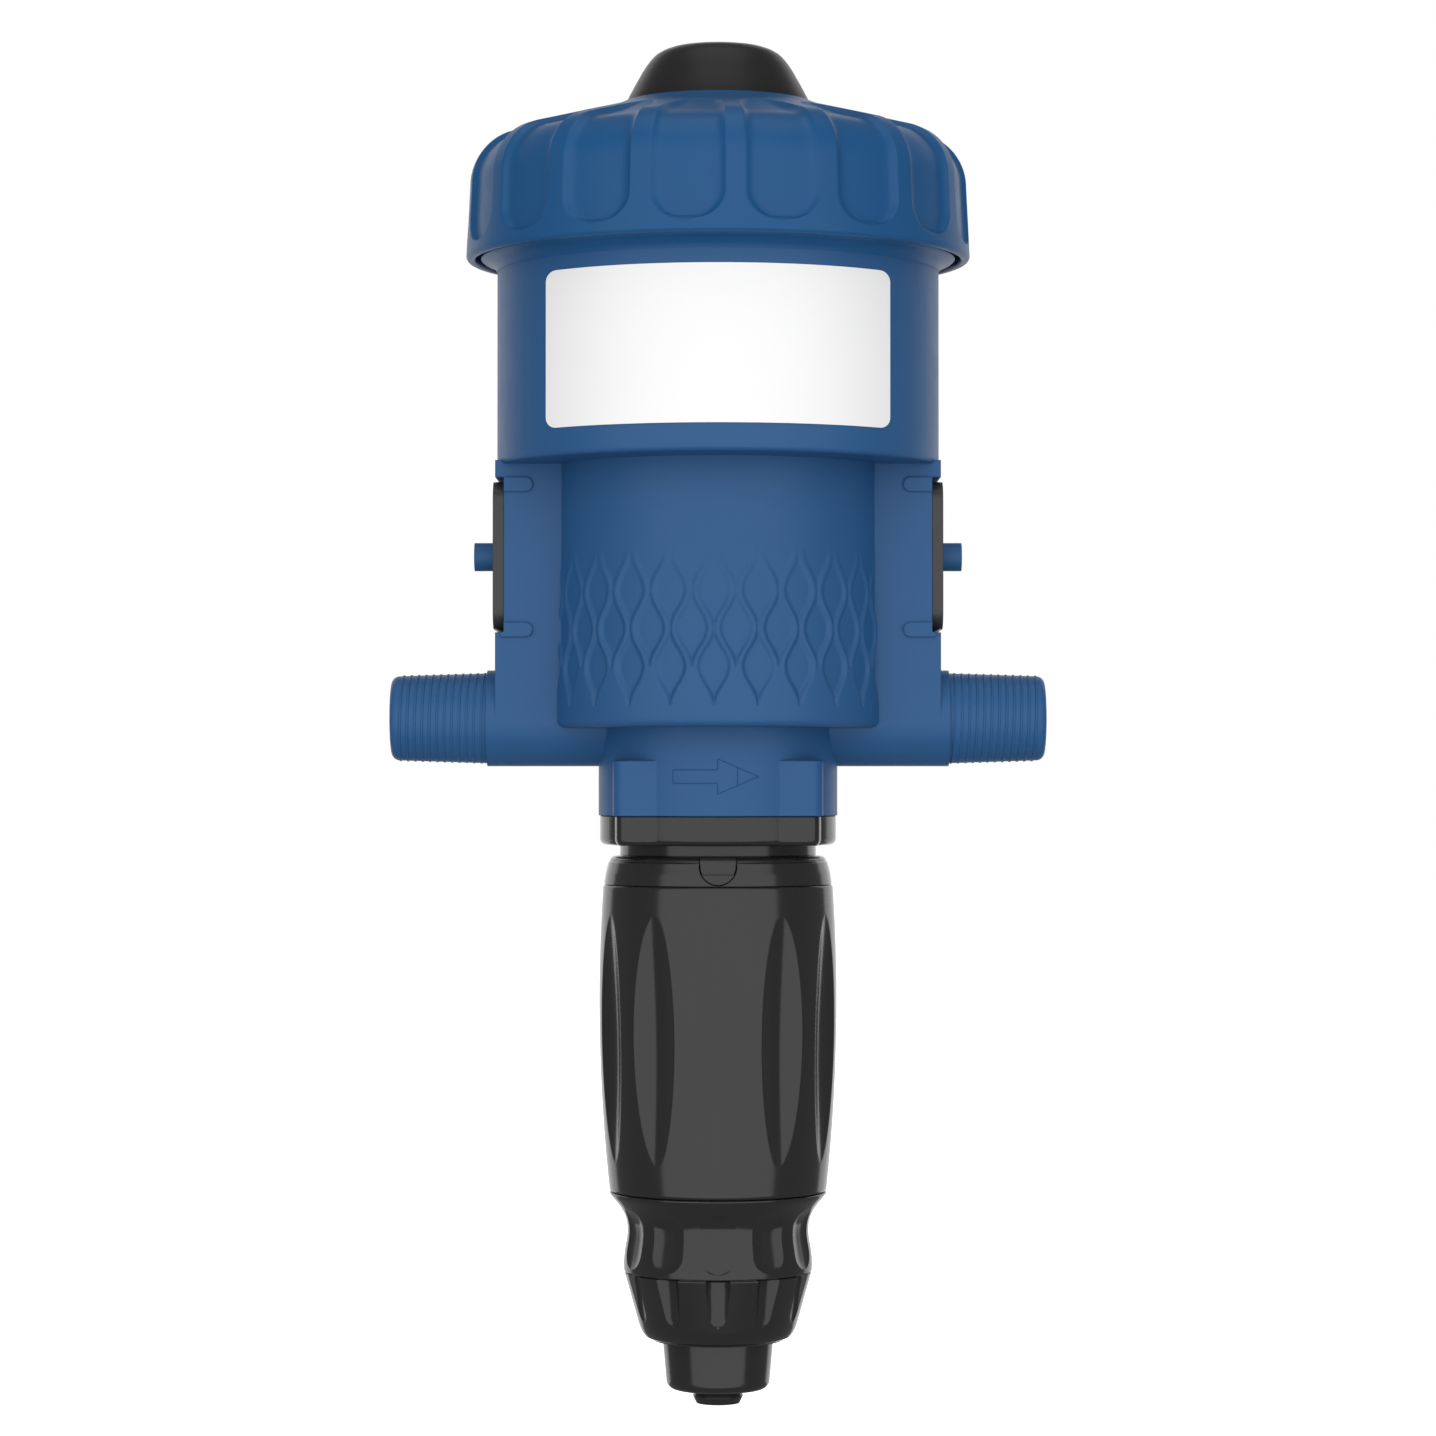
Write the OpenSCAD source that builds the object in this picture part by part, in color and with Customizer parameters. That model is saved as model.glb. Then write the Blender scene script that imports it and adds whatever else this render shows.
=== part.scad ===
// Water-driven dosing pump: a differential piston motor in the drum drives a plunger
// in the stem below, and the ratio knob sets how far the plunger works in its barrel.
// Z is the pump axis, with zero at the suction tip. The front faces -Y, the outlet +X.

/* [Heights along the axis] */
// Length of the hose barb that shows below the hose nut
tip_h = 4.1; // [2:0.1:6]
// Height of the hose nut
hose_nut_h = 14; // [13:0.1:20]
// Height of the conical nut
cone_nut_h = 19.9; // [18:0.1:24]
// Height of the lower grip
grip_h = 22.9; // [21:0.1:28]
// Height of the ratio knob
knob_h = 88.7; // [84:0.1:100]
// Height of the lock ring
lock_h = 8.6; // [7:0.1:11]
// Height of bare stem between the lock ring and the collar
stem_show_h = 3; // [2:0.5:6]
// Height of the stem collar
collar_h = 8.5; // [8:0.1:12]
// Height from the collar to the port axis
port_rise = 28.1; // [27:0.1:34]
// Height from the port axis to the drum
lower_h = 73; // [70:1:84]
// Height of the drum that shows below the cover
drum_h = 57.3; // [54:0.1:66]
// Height of the cover's upright side
cover_side_h = 22.6; // [21:0.1:28]
// Height of the vent button above the cover
button_h = 17.8; // [15:0.1:20]

/* [Housing] */
// Radius of the motor drum
drum_r = 64; // [63:0.5:66]
// Wall of the motor drum
drum_wall = 6; // [5:0.5:7]
// Radius of the lower housing
lower_r = 47; // [46:0.5:50]
// Bore radius of the lower housing
lower_bore_r = 38; // [37:0.5:40]
// Radius of the neck
neck_r = 34.6; // [34.2:0.1:36]
// Half side of the square screw corners on the neck
neck_half = 29.9; // [29.5:0.1:31]
// Depth of the scale-shaped recesses at the foot of the lower housing
relief_depth = 2; // [1:0.1:3]
// Recesses round the whole lower housing in one row
relief_count = 24; // [20:2:28]
// Half height of one recess
relief_half_h = 8.8; // [7:0.1:10]
// Half width of one recess
relief_half_w = 4.7; // [4:0.1:5.2]

/* [Ports] */
// Distance over both thread ends
port_span = 189.2; // [184:0.2:210]
// Radius of the port tubes
port_tube_r = 13.9; // [13.5:0.1:15]
// Length of one taper thread
thread_len = 27.8; // [22:0.1:30]
// Thread radius at the body, below the crests
thread_r = 13.05; // [12.8:0.05:13.4]
// Taper of the thread radius along its length
thread_taper = 0.84; // [0.4:0.02:1]
// Bore radius of the ports
port_bore_r = 9.5; // [8:0.1:10]

/* [Cover] */
// Distance that the cover stands out from the drum
cover_step = 9; // [8:0.5:12]
// Draft of the cover's upright side
side_draft = 1; // [0.5:0.1:1.5]
// Radius of the cover's rounded shoulder
shoulder_r = 16; // [14:0.1:18]
// Slope of the cover's dome in degrees
dome_slope = 15.4; // [13:0.1:17]
// Number of finger pockets
pocket_count = 17; // [13:1:19]
// Angle over one finger pocket
pocket_angle = 15.5; // [12:0.5:16]
// Depth of the finger pockets
pocket_depth = 1.5; // [0.8:0.1:1.8]
// Radius of the vent button
button_r = 27.2; // [25:0.1:28]
// Travel of the vent button
button_travel = 3; // [2:0.5:4]

/* [Label] */
// Angle over the blank label
label_angle = 98; // [80:1:104]
// Height of the blank label
label_h = 44.1; // [36:0.1:48]
// Thickness of the blank label
label_t = 0.3; // [0.2:0.05:0.5]

/* [Wall bracket] */
// Thickness of the bracket arms
arm_t = 3.2; // [3:0.1:4]
// Height of the bracket arms
arm_h = 42.6; // [36:0.1:44]
// Distance from the pump axis to the wall
wall_y = 82; // [80:1:100]
// Thickness of the wall plate
plate_t = 5; // [4:0.5:7]
// Height of the wall plate
plate_h = 66; // [60:1:74]
// Distance across the wall screw holes
bolt_dx = 80; // [60:1:96]
// Height between the wall screw holes
bolt_dz = 46; // [36:1:50]
// Radius of the wall screw holes
bolt_r = 2.75; // [2:0.25:3.5]
// Radius of the lug pins that carry the pump
lug_r = 4.1; // [3.5:0.1:5]
// Distance that the lug pins stand out from the drum
lug_step = 6.6; // [5:0.2:8]

/* [Motor] */
// Stroke of the motor piston
stroke = 32; // [26:1:34]
// Thickness of the piston crown
crown_t = 10; // [9:0.5:11]
// Outer radius of the piston tube
tube_r = 22; // [21:0.5:23]
// Wall of the piston tube
tube_wall = 5; // [4:0.5:5.5]
// Travel of the valve gear
gear_travel = 4; // [3:0.5:4.5]
// Radius of the circle of inlet valves
inlet_circle_r = 40; // [39:0.5:42]
// Radius of the inlet valve holes
inlet_hole_r = 6; // [4:0.5:7]
// Radius of the outlet valve hole
outlet_hole_r = 11; // [9:0.5:12]

/* [Dosing] */
// Outer radius of the dosing stem
stem_r = 26; // [25.8:0.1:26.3]
// Bore radius of the dosing stem
stem_bore_r = 21; // [20.5:0.1:21.5]
// Radius of the plunger
plunger_r = 8.3; // [7:0.1:9]
// Travel of the dosing barrel
barrel_travel = 18; // [10:1:18]
// Radius of the ratio knob at its widest
knob_r = 34.4; // [33.5:0.1:36]
// Radius of the knob's long barrel curve
knob_curve_r = 500; // [450:10:900]
// Flutes round the knob, the grip and the conical nut
flute_count = 11; // [9:1:13]
// Radius of the suction bore
suction_r = 4; // [3:0.1:4.5]
// Lift of the suction valve
valve_lift = 2.5; // [1.5:0.5:3]

/* [Clearances] */
// Radial gap of a sliding fit
slide_gap = 0.1; // [0.05:0.01:0.15]
// Gap between pieces that turn on each other
turn_gap = 0.2; // [0.1:0.05:0.3]
// Gap between a valve and its seat, or a stop and its end
seat_gap = 0.2; // [0.1:0.05:0.3]

/* [Hidden] */
$fn = 96;

blue = [0.22, 0.37, 0.54];
black = [0.15, 0.15, 0.16];
rubber = [0.08, 0.08, 0.08];
white = [0.93, 0.93, 0.91];
ivory = [0.86, 0.84, 0.78];
steel = [0.72, 0.73, 0.75];

// Heights of the outer pieces, from the suction tip up
z_hose_nut = tip_h;
z_cone = z_hose_nut + hose_nut_h + turn_gap;
z_grip = z_cone + cone_nut_h;
z_knob = z_grip + grip_h;
z_lock = z_knob + knob_h;
z_show = z_lock + lock_h;
z_collar = z_show + stem_show_h;
z_neck = z_collar + collar_h;
z_port = z_neck + port_rise;
z_drum = z_port + lower_h;
z_cover = z_drum + drum_h;
z_rim = z_cover + 18;
z_shoulder = z_cover + cover_side_h;
z_lug = z_port + 46.8;

// Cover: the dome leaves the shoulder arc at its slope and rises to the vent button
cover_r = drum_r + cover_step;
recess_r = button_r + turn_gap;
dome_foot_r = cover_r - side_draft - shoulder_r * (1 - sin(dome_slope));
z_dome_foot = z_shoulder + shoulder_r * cos(dome_slope);
function dome_z(r) = z_dome_foot + (dome_foot_r - r) * tan(dome_slope);
z_button = dome_z(recess_r);
z_recess = z_button - button_travel - 3.2;
z_ceiling = z_recess - 4.6;
seal_t = 1.5;
drum_bore_r = drum_r - drum_wall;
skirt_gap = 0.2;
skirt_t = 4.8;
skirt_round = 3.5;

// Motor: the piston is drawn at the bottom of its stroke
z_floor = z_port - 11;
neck_bore_r = neck_r - 7.6;
z_chamber = z_port + 3.2;
z_bore = z_drum + 6;
z_crown = z_bore + 7;
z_crown_top = z_crown + crown_t;
z_skirt = z_port + port_bore_r + 4.5;
skirt_h = 10;
tube_bore_r = tube_r - tube_wall;
z_yoke = z_crown_top + 10;
yoke_t = 4;
z_cap = z_yoke + 13.5;
cap_t = 3;
cap_r = 16;
z_trip_stop = z_cap + cap_t + stroke + gear_travel + 0.5;
leg_y = 12;
leg_r = 2;
z_leg_bar = z_skirt + 12.5;
leg_bar_w = 8;
leg_bar_t = 3;
rod_r = 5;
rod_nut_t = 4;

// Dosing: the barrel is drawn at the bottom of its travel
spigot_r = neck_bore_r - slide_gap;
z_stem_top = z_floor - 1;
guide_t = 5;
flange_r = 31.5;
foot_r = 22.6;
foot_bore_r = 18;
z_foot = z_knob - 7;
riser_r = 10;
riser_bore_r = 7;
z_riser_top = z_foot + barrel_travel + 6;
z_barrel = z_riser_top + 2;
barrel_h = 44;
barrel_r = 12;
barrel_bore_r = plunger_r + 0.2;
z_pin = z_barrel + 20;
pin_r = 3.4;
pin_reach = stem_r + 2.5;
z_plunger = z_barrel + 24;
plunger_h = 8;

// Suction end
z_web = z_grip + 8;
chamber_r = 12;
z_seat = z_cone + 6.9;
gasket_t = 0.8;
grip_spigot_r = 20;
collar_r = neck_r - 0.4;
collar_half = neck_half - 0.6;
screw_xy = neck_half - 5.3;
screw_r = 2;
screw_bite = 12;
seat_flange_r = 17;
seat_flange_t = 3.2;
nut_bore_r = 11;
hose_nut_r = 15.8;
barb_r = suction_r + 3.3;

function arc(cx, cy, r, from, to, steps = 8) =
    [for (i = [0:steps]) let (a = from + (to - from) * i / steps) [cx + r * cos(a), cy + r * sin(a)]];

// Tube between two heights
module ring(z0, z1, outer, inner) {
    translate([0, 0, z0]) difference() {
        cylinder(r = outer, h = z1 - z0);
        translate([0, 0, -1]) cylinder(r = inner, h = z1 - z0 + 2);
    }
}

module o_ring(major, minor, z) {
    translate([0, 0, z]) rotate_extrude() translate([major, 0]) circle(r = minor, $fn = 24);
}

module rod(r, z0, z1) {
    translate([0, 0, z0]) cylinder(r = r, h = z1 - z0);
}

// Copies its children round the axis, the first one at the front
module around(count, phase = 0) {
    for (i = [0:count - 1]) rotate([0, 0, phase + i * 360 / count]) children();
}

// Prism that runs outwards through a wall at the front, drawn as seen from the front
module radial(r0, r1) {
    translate([0, -r0, 0]) rotate([90, 0, 0]) linear_extrude(r1 - r0) children();
}

// Outline with one round end, open towards z_open
module u_outline(half_w, z_end, z_open) {
    s = z_open > z_end ? 1 : -1;
    translate([0, z_end + s * half_w]) circle(r = half_w);
    translate([-half_w, min(z_end + s * half_w, z_open)])
        square([2 * half_w, abs(z_open - z_end) - half_w]);
}

module rounded_square(half, corner) {
    inner = half - corner;
    square([2 * half, 2 * inner], center = true);
    square([2 * inner, 2 * half], center = true);
    for (x = [-inner, inner], y = [-inner, inner]) translate([x, y]) circle(r = corner);
}

// Section of neck and collar: a circle with four square corners for the screws
module neck_section(r, half) {
    circle(r = r);
    rounded_square(half, 4);
}

// Helical spring with round wire, swept ring by ring
module coil(mean_r, wire_r, z0, z1, turns) {
    sides = 8;
    rings = turns * 16;
    rise = z1 - z0 - 2 * wire_r;
    points = [for (i = [0:rings], j = [0:sides - 1])
        let (turn = 360 * turns * i / rings, a = 360 * j / sides)
        [(mean_r + wire_r * cos(a)) * cos(turn), (mean_r + wire_r * cos(a)) * sin(turn),
            z0 + wire_r + rise * i / rings + wire_r * sin(a)]];
    walls = [for (i = [0:rings - 1], j = [0:sides - 1])
        let (n = (j + 1) % sides, a = i * sides, b = (i + 1) * sides) [a + j, b + j, b + n, a + n]];
    ends = [[for (j = [0:sides - 1]) j], [for (j = [sides - 1:-1:0]) rings * sides + j]];
    polyhedron(points = points, faces = concat(walls, ends), convexity = 8);
}

// Outer line of the cover from its lower edge to the vent button's recess
function cover_line() = concat(
    [for (a = [-90:18:0]) [cover_r - skirt_t + skirt_t * cos(a),
        z_cover + skirt_round + skirt_round * sin(a)]],
    arc(cover_r - side_draft - shoulder_r, z_shoulder, shoulder_r, 0, 90 - dome_slope, 9),
    [[recess_r, z_button]]);

// Scale-shaped recesses: pointed ovals in staggered rows, deeper towards the foot
module relief() {
    row_step = 10.7;
    z_low = z_port + 2.2;
    z_high = z_port + 48;
    lens_r = (pow(relief_half_h, 2) + pow(relief_half_w, 2)) / (2 * relief_half_w);
    pitch = 360 / relief_count;
    intersection() {
        rotate_extrude() polygon([[lower_r, z_high], [lower_r + 2, z_high], [lower_r + 2, z_low],
            [lower_r - relief_depth, z_low]]);
        for (row = [0:4], side = [0, 180], k = [-4:4])
            rotate([0, 0, side - 1.2 + (k + (row % 2) / 2) * pitch])
                translate([0, 0, z_port + 3.5 + row * row_step])
                    radial(lower_r - 6, lower_r + 4) intersection() {
                        translate([lens_r - relief_half_w, 0]) circle(r = lens_r);
                        translate([relief_half_w - lens_r, 0]) circle(r = lens_r);
                    }
    }
}

// Housing: motor drum, lower housing, port tubes with taper threads, side blocks and neck
module pump_body() {
    block_x = drum_r;
    arm_x = block_x - 2.5;
    lug_x = drum_r + lug_step;
    z_low_drum = z_port - 2.8;
    color(blue) difference() {
        union() {
            rotate_extrude() polygon(concat([[0, z_drum]],
                arc(drum_r - 1.5, z_drum + 1.5, 1.5, -90, 0, 4), [[drum_r, z_rim], [0, z_rim]]));
            difference() {
                rotate_extrude() polygon(concat([[0, z_low_drum]],
                    arc(lower_r - 2.3, z_low_drum + 2.3, 2.3, -90, 0, 4),
                    [[lower_r, z_drum + 1], [0, z_drum + 1]]));
                relief();
            }
            translate([-block_x, -port_tube_r, z_port])
                cube([2 * block_x, 2 * port_tube_r, lower_h + 1]);
            translate([-port_span / 2 + thread_len, 0, z_port]) rotate([0, 90, 0])
                cylinder(r = port_tube_r, h = port_span - 2 * thread_len);
            for (s = [-90, 90]) translate([0, 0, z_port]) rotate([0, s, 0]) taper_thread();
            translate([0, 0, z_neck]) linear_extrude(port_rise) circle(r = neck_r);
            translate([0, 0, z_neck]) linear_extrude(port_rise - 12.4) neck_section(neck_r, neck_half);
            for (s = [-1, 1], z = [z_lug - 21.5, z_lug + 20.2]) arm_guide(s, z);
            translate([-lug_x, 0, z_lug]) rotate([0, 90, 0]) cylinder(r = lug_r, h = 2 * lug_x);
        }
        for (s = [-1, 1]) {
            translate([s * (arm_x + 5) - 5, -port_tube_r - 1, z_lug - arm_h / 2 - 1])
                difference() {
                    cube([10, 2 * port_tube_r + 2, arm_h + 2]);
                    translate([-1, port_tube_r + 1, arm_h / 2 + 1]) rotate([0, 90, 0])
                        cylinder(r = lug_r, h = 12);
                }
        }
        rod(drum_bore_r, z_bore, z_rim + 1);
        rod(lower_bore_r, z_chamber, z_bore + 1);
        rod(neck_bore_r, z_neck - 1, z_chamber + 1);
        port_bore(1);
        port_bore(-1);
        translate([-(lower_bore_r + drum_bore_r + 5) / 2, 0, z_port])
            cylinder(r = 6, h = z_bore - z_port + 1);
        for (x = [-screw_xy, screw_xy], y = [-screw_xy, screw_xy])
            translate([x, y, z_neck - 1]) cylinder(r = screw_r + 0.05, h = screw_bite + 2);
    }
}

module taper_thread() {
    x0 = port_span / 2 - thread_len;
    x1 = port_span / 2;
    tip_r = thread_r - thread_taper;
    rotate_extrude() polygon(concat([[0, x0 - 2], [thread_r, x0 - 2], [thread_r, x0]],
        arc(tip_r - 2.3, x1 - 2.3, 2.3, 4, 90, 5), [[0, x1]]));
}

// Port bore with a narrower passage behind it: the outlet opens into the neck bore,
// and the inlet ends below the channel that leads up into the drum
module port_bore(s) {
    x_step = drum_r - 6;
    x_end = s > 0 ? neck_bore_r - 4 : lower_bore_r + 7;
    translate([0, 0, z_port]) rotate([0, s * 90, 0]) {
        translate([0, 0, x_step]) cylinder(r = port_bore_r, h = port_span / 2 - x_step + 1);
        translate([0, 0, x_end]) cylinder(r = port_bore_r - 1, h = x_step - x_end + 0.5);
    }
}

// Raised guides above and below each bracket arm, with one round end
module arm_guide(s, z) {
    thick = 4.2;
    reach = 9.3;
    proud = 0.8;
    x_out = drum_r - 1.5;
    translate([0, port_tube_r + proud, z]) rotate([90, 0, 0]) linear_extrude(2 * (port_tube_r + proud)) {
        translate([s * (x_out - reach + thick / 2), 0]) circle(r = thick / 2);
        translate([s > 0 ? x_out - reach + thick / 2 : -x_out, -thick / 2])
            square([reach - thick / 2, thick]);
    }
}

// Cover: screws down over the drum, with finger pockets outside and a trip stop inside
module top_cover() {
    groove_z = z_rim - 3;
    color(blue) difference() {
        rotate_extrude() polygon(concat(cover_line(),
            [[recess_r, z_recess], [4 + slide_gap, z_recess], [4 + slide_gap, z_ceiling],
                [cap_r - 2, z_ceiling], [cap_r - 2, z_trip_stop], [cap_r + 1.5, z_trip_stop],
                [cap_r + 1.5, z_ceiling], [cap_r + 14, z_ceiling], [drum_bore_r - 10, z_ceiling - 1.5],
                [drum_bore_r - 3, z_ceiling - 4.5], [drum_bore_r, z_ceiling - 9.5],
                [drum_bore_r, z_rim + seal_t], [drum_r + skirt_gap, z_rim + seal_t],
                [drum_r + skirt_gap, z_cover], [drum_r + 2.2, z_cover], [drum_r + 2.2, groove_z],
                [cover_r - skirt_t, groove_z]]));
        finger_pockets();
        for (a = [0, 90]) rotate([0, 0, a]) translate([-cap_r - 3, -3, z_trip_stop - 1])
            cube([2 * cap_r + 6, 6, 4]);
    }
}

// Pockets follow the cover's outer line and fade out on the dome
module finger_pockets() {
    z_foot_p = z_cover + 6.8;
    corner = 6;
    fade_r = 37.7;
    half = pocket_angle / 2;
    half_w = cover_r * sin(half);
    far = cover_r + 20;
    z_far = z_button + 10;
    intersection() {
        rotate_extrude() polygon(concat([[far, z_foot_p - 1], [cover_r - pocket_depth, z_foot_p - 1]],
            arc(cover_r - side_draft - shoulder_r, z_shoulder, shoulder_r - pocket_depth, 0,
                90 - dome_slope, 9),
            [[fade_r, dome_z(fade_r)], [fade_r, z_far], [far, z_far]]));
        around(pocket_count, -6.7) {
            translate([0, 0, z_foot_p + corner]) linear_extrude(z_far - z_foot_p)
                polygon([[0, 0], [far * sin(-half), -far * cos(half)], [far * sin(half), -far * cos(half)]]);
            radial(cover_r - 6, far) translate([0, z_foot_p]) {
                for (s = [-1, 1]) translate([s * (half_w - corner), corner]) circle(r = corner);
                translate([corner - half_w, 0]) square([2 * (half_w - corner), 2 * corner]);
            }
        }
    }
}

module cover_seal() {
    color(rubber) ring(z_rim, z_rim + seal_t, drum_r - 1.5, drum_bore_r + 1.5);
}

// Vent button: a hollow cap that is pressed down to let air out of the drum
module vent_button() {
    z_low = z_recess + button_travel + 0.4;
    z_top = z_button + button_h;
    wall = 2.6;
    round_r = 9;
    side_r = button_r - 4.9;
    color(black) rotate_extrude() polygon(concat(
        [[button_r, z_low], [button_r, z_button]],
        arc(side_r - round_r + 0.6, z_top - round_r - 0.6, round_r, 12, 72, 7),
        [[5, z_top], [0, z_top], [0, z_top - wall], [2.95, z_top - wall], [2.95, z_top - wall - 6],
            [6, z_top - wall - 6], [6, z_top - wall], [side_r - 5, z_top - wall - 0.6],
            [side_r - wall, z_top - 8], [button_r - wall, z_button], [button_r - wall, z_low]]));
}

// Stem of the vent valve: its disc closes the bore from inside the cover
module vent_stem() {
    z_disc = z_ceiling - seat_gap - seal_t;
    z_top = z_button + button_h - 3;
    color(ivory) {
        rod(9, z_disc - 2.5, z_disc);
        rod(4, z_disc - 0.1, z_top - 8);
        rod(2.9, z_top - 8.1, z_top);
    }
}

module vent_seal() {
    color(rubber) ring(z_ceiling - seat_gap - seal_t, z_ceiling - seat_gap, 8.5, 4);
}

module vent_spring() {
    color(steel) coil(9.5, 0.7, z_recess, z_button + button_h - 2.7, 6);
}

// Wall bracket: a plate with two arms that hook round the lug pins
module wall_bracket() {
    arm_in = drum_r - 2.5;
    arm_out = arm_in + arm_t;
    front_y = -13.5;
    bend = 9;
    z_mid = z_lug;
    color(black) difference() {
        union() {
            intersection() {
                translate([0, 0, z_mid - 60]) linear_extrude(120) difference() {
                    arm_plan(arm_out, bend, wall_y);
                    arm_plan(arm_in, bend - arm_t, wall_y - plate_t);
                }
                translate([-arm_out - 1, 0, 0]) rotate([90, 0, 90]) linear_extrude(2 * arm_out + 2)
                    arm_side(front_y, z_mid);
            }
            for (s = [-1, 1]) translate([s > 0 ? arm_out - 1 : -arm_out - 1.8, 46, z_mid - arm_h / 2 - 10])
                cube([2.8, 18, 14]);
        }
        translate([-arm_out - 5, 0, z_lug]) rotate([0, 90, 0])
            cylinder(r = lug_r + turn_gap, h = 2 * arm_out + 10);
        for (x = [-1, 1], z = [-1, 1])
            translate([x * bolt_dx / 2, wall_y - plate_t - 1, z_mid + z * bolt_dz / 2])
                rotate([-90, 0, 0]) cylinder(r = bolt_r, h = plate_t + 2);
    }
}

// Plan of the bracket with two rounded rear corners
module arm_plan(half, corner, back) {
    front = -30;
    translate([-half, front]) square([2 * half, back - corner - front]);
    translate([corner - half, front]) square([2 * (half - corner), back - front]);
    for (s = [-1, 1]) translate([s * (half - corner), back - corner]) circle(r = corner);
}

// Side view of the bracket: rounded front ends and a deeper rear end
module arm_side(front_y, z_mid) {
    corner = 6;
    half = arm_h / 2;
    for (s = [-1, 1]) translate([front_y + corner, z_mid + s * (half - corner)]) circle(r = corner);
    translate([front_y, z_mid - half + corner]) square([corner, arm_h - 2 * corner]);
    translate([front_y + corner, z_mid - half]) square([wall_y - front_y, arm_h]);
    polygon([[24, z_mid - half + 1], [44, z_mid - plate_h / 2], [wall_y, z_mid - plate_h / 2],
        [wall_y, z_mid + plate_h / 2], [wall_y - 14, z_mid + plate_h / 2], [wall_y - 24, z_mid + half - 1]]);
}

// Blank label, wrapped round the front of the drum
module label_plate() {
    corner = 3;
    half_w = drum_r * sin(label_angle / 2);
    z0 = z_drum + 7.7;
    color(white) intersection() {
        ring(z0, z0 + label_h, drum_r + label_t, drum_r + 0.05);
        radial(0, drum_r + 10) translate([0, z0]) {
            translate([-half_w, corner]) square([2 * half_w, label_h - 2 * corner]);
            translate([corner - half_w, 0]) square([2 * (half_w - corner), label_h]);
            for (s = [-1, 1], z = [corner, label_h - corner])
                translate([s * (half_w - corner), z]) circle(r = corner);
        }
    }
}

// Piston crown with its seal groove, inlet valve holes and outlet valve hole
module piston_crown() {
    seal_in = drum_bore_r - 3.4;
    color(ivory) difference() {
        rotate_extrude() polygon([[outlet_hole_r, z_crown], [drum_bore_r - 0.5, z_crown],
            [drum_bore_r - 0.5, z_crown + 3], [seal_in, z_crown + 3], [seal_in, z_crown + 7],
            [drum_bore_r - 0.5, z_crown + 7], [drum_bore_r - 0.5, z_crown_top],
            [outlet_hole_r, z_crown_top]]);
        around(4) translate([0, -inlet_circle_r, z_crown - 1]) cylinder(r = inlet_hole_r, h = crown_t + 2);
        around(4, 45) translate([0, -tube_r - 3.4, z_crown - 1]) {
            cylinder(r = 2.1, h = crown_t + 2);
            translate([0, 0, crown_t - 2.6]) cylinder(r = 3.8, h = 4);
        }
    }
}

// Lip seal in the crown's groove
module piston_seal() {
    inner = drum_bore_r - 3.4;
    z = z_crown + 3;
    color(rubber) rotate_extrude() polygon([[inner, z + 0.1], [inner + 3.2, z + 0.1],
        [inner + 3.3, z + 1], [inner + 2.7, z + 2], [inner + 3.3, z + 3], [inner + 3.2, z + 3.9],
        [inner, z + 3.9]]);
}

// Piston tube: flange under the crown, small piston at the foot and a spider for the rod
module piston_tube() {
    skirt_r = lower_bore_r - 0.4;
    seal_in = lower_bore_r - 3.2;
    color(ivory) difference() {
        union() {
            rotate_extrude() polygon([[tube_bore_r, z_skirt], [skirt_r, z_skirt],
                [skirt_r, z_skirt + 3], [seal_in, z_skirt + 3], [seal_in, z_skirt + 7],
                [skirt_r, z_skirt + 7], [skirt_r, z_skirt + skirt_h], [tube_r, z_skirt + skirt_h],
                [tube_r, z_crown - 5], [tube_r + 7, z_crown - 5], [tube_r + 7, z_crown],
                [tube_bore_r, z_crown]]);
            rod(8, z_skirt, z_skirt + 5);
            translate([-tube_bore_r - 1, -3, z_skirt]) cube([2 * tube_bore_r + 2, 6, 5]);
        }
        rod(rod_r - 0.9, z_skirt - 1, z_skirt + 6);
        around(4, 45) translate([0, -tube_r - 3.4, z_crown - 6]) cylinder(r = 1.95, h = 8);
    }
}

module skirt_seal() {
    inner = lower_bore_r - 3.2;
    z = z_skirt + 3;
    color(rubber) rotate_extrude() polygon([[inner, z + 0.1], [inner + 3, z + 0.1],
        [inner + 3.1, z + 1], [inner + 2.5, z + 2], [inner + 3.1, z + 3], [inner + 3, z + 3.9],
        [inner, z + 3.9]]);
}

module crown_screws() {
    color(steel) around(4, 45) translate([0, -tube_r - 3.4, 0]) difference() {
        union() {
            rod(1.9, z_crown - 4.5, z_crown_top - 2.5);
            rod(3.6, z_crown_top - 2.6, z_crown_top - 0.1);
        }
        rod(1.4, z_crown_top - 1.6, z_crown_top + 1);
    }
}

// Yoke that carries the four inlet valves over the crown
module gear_yoke() {
    color(white) difference() {
        union() {
            rod(cap_r + 1, z_yoke, z_yoke + yoke_t);
            for (a = [0, 90]) rotate([0, 0, a]) {
                translate([-4.5, -inlet_circle_r, z_yoke]) cube([9, 2 * inlet_circle_r, yoke_t]);
                for (s = [-1, 1]) translate([0, s * inlet_circle_r, z_yoke]) cylinder(r = 4.5, h = yoke_t);
            }
        }
        rod(3.5, z_yoke - 1, z_yoke + yoke_t + 1);
        around(4) translate([0, -inlet_circle_r, z_yoke - 1]) cylinder(r = 2, h = yoke_t + 2);
    }
}

// Trip rod: its cap meets the stop in the cover at the top of the stroke
module trip_rod() {
    color(steel) {
        rod(3.5, z_leg_bar + leg_bar_t, z_cap + 0.1);
        rod(cap_r, z_cap, z_cap + cap_t);
    }
}

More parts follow.
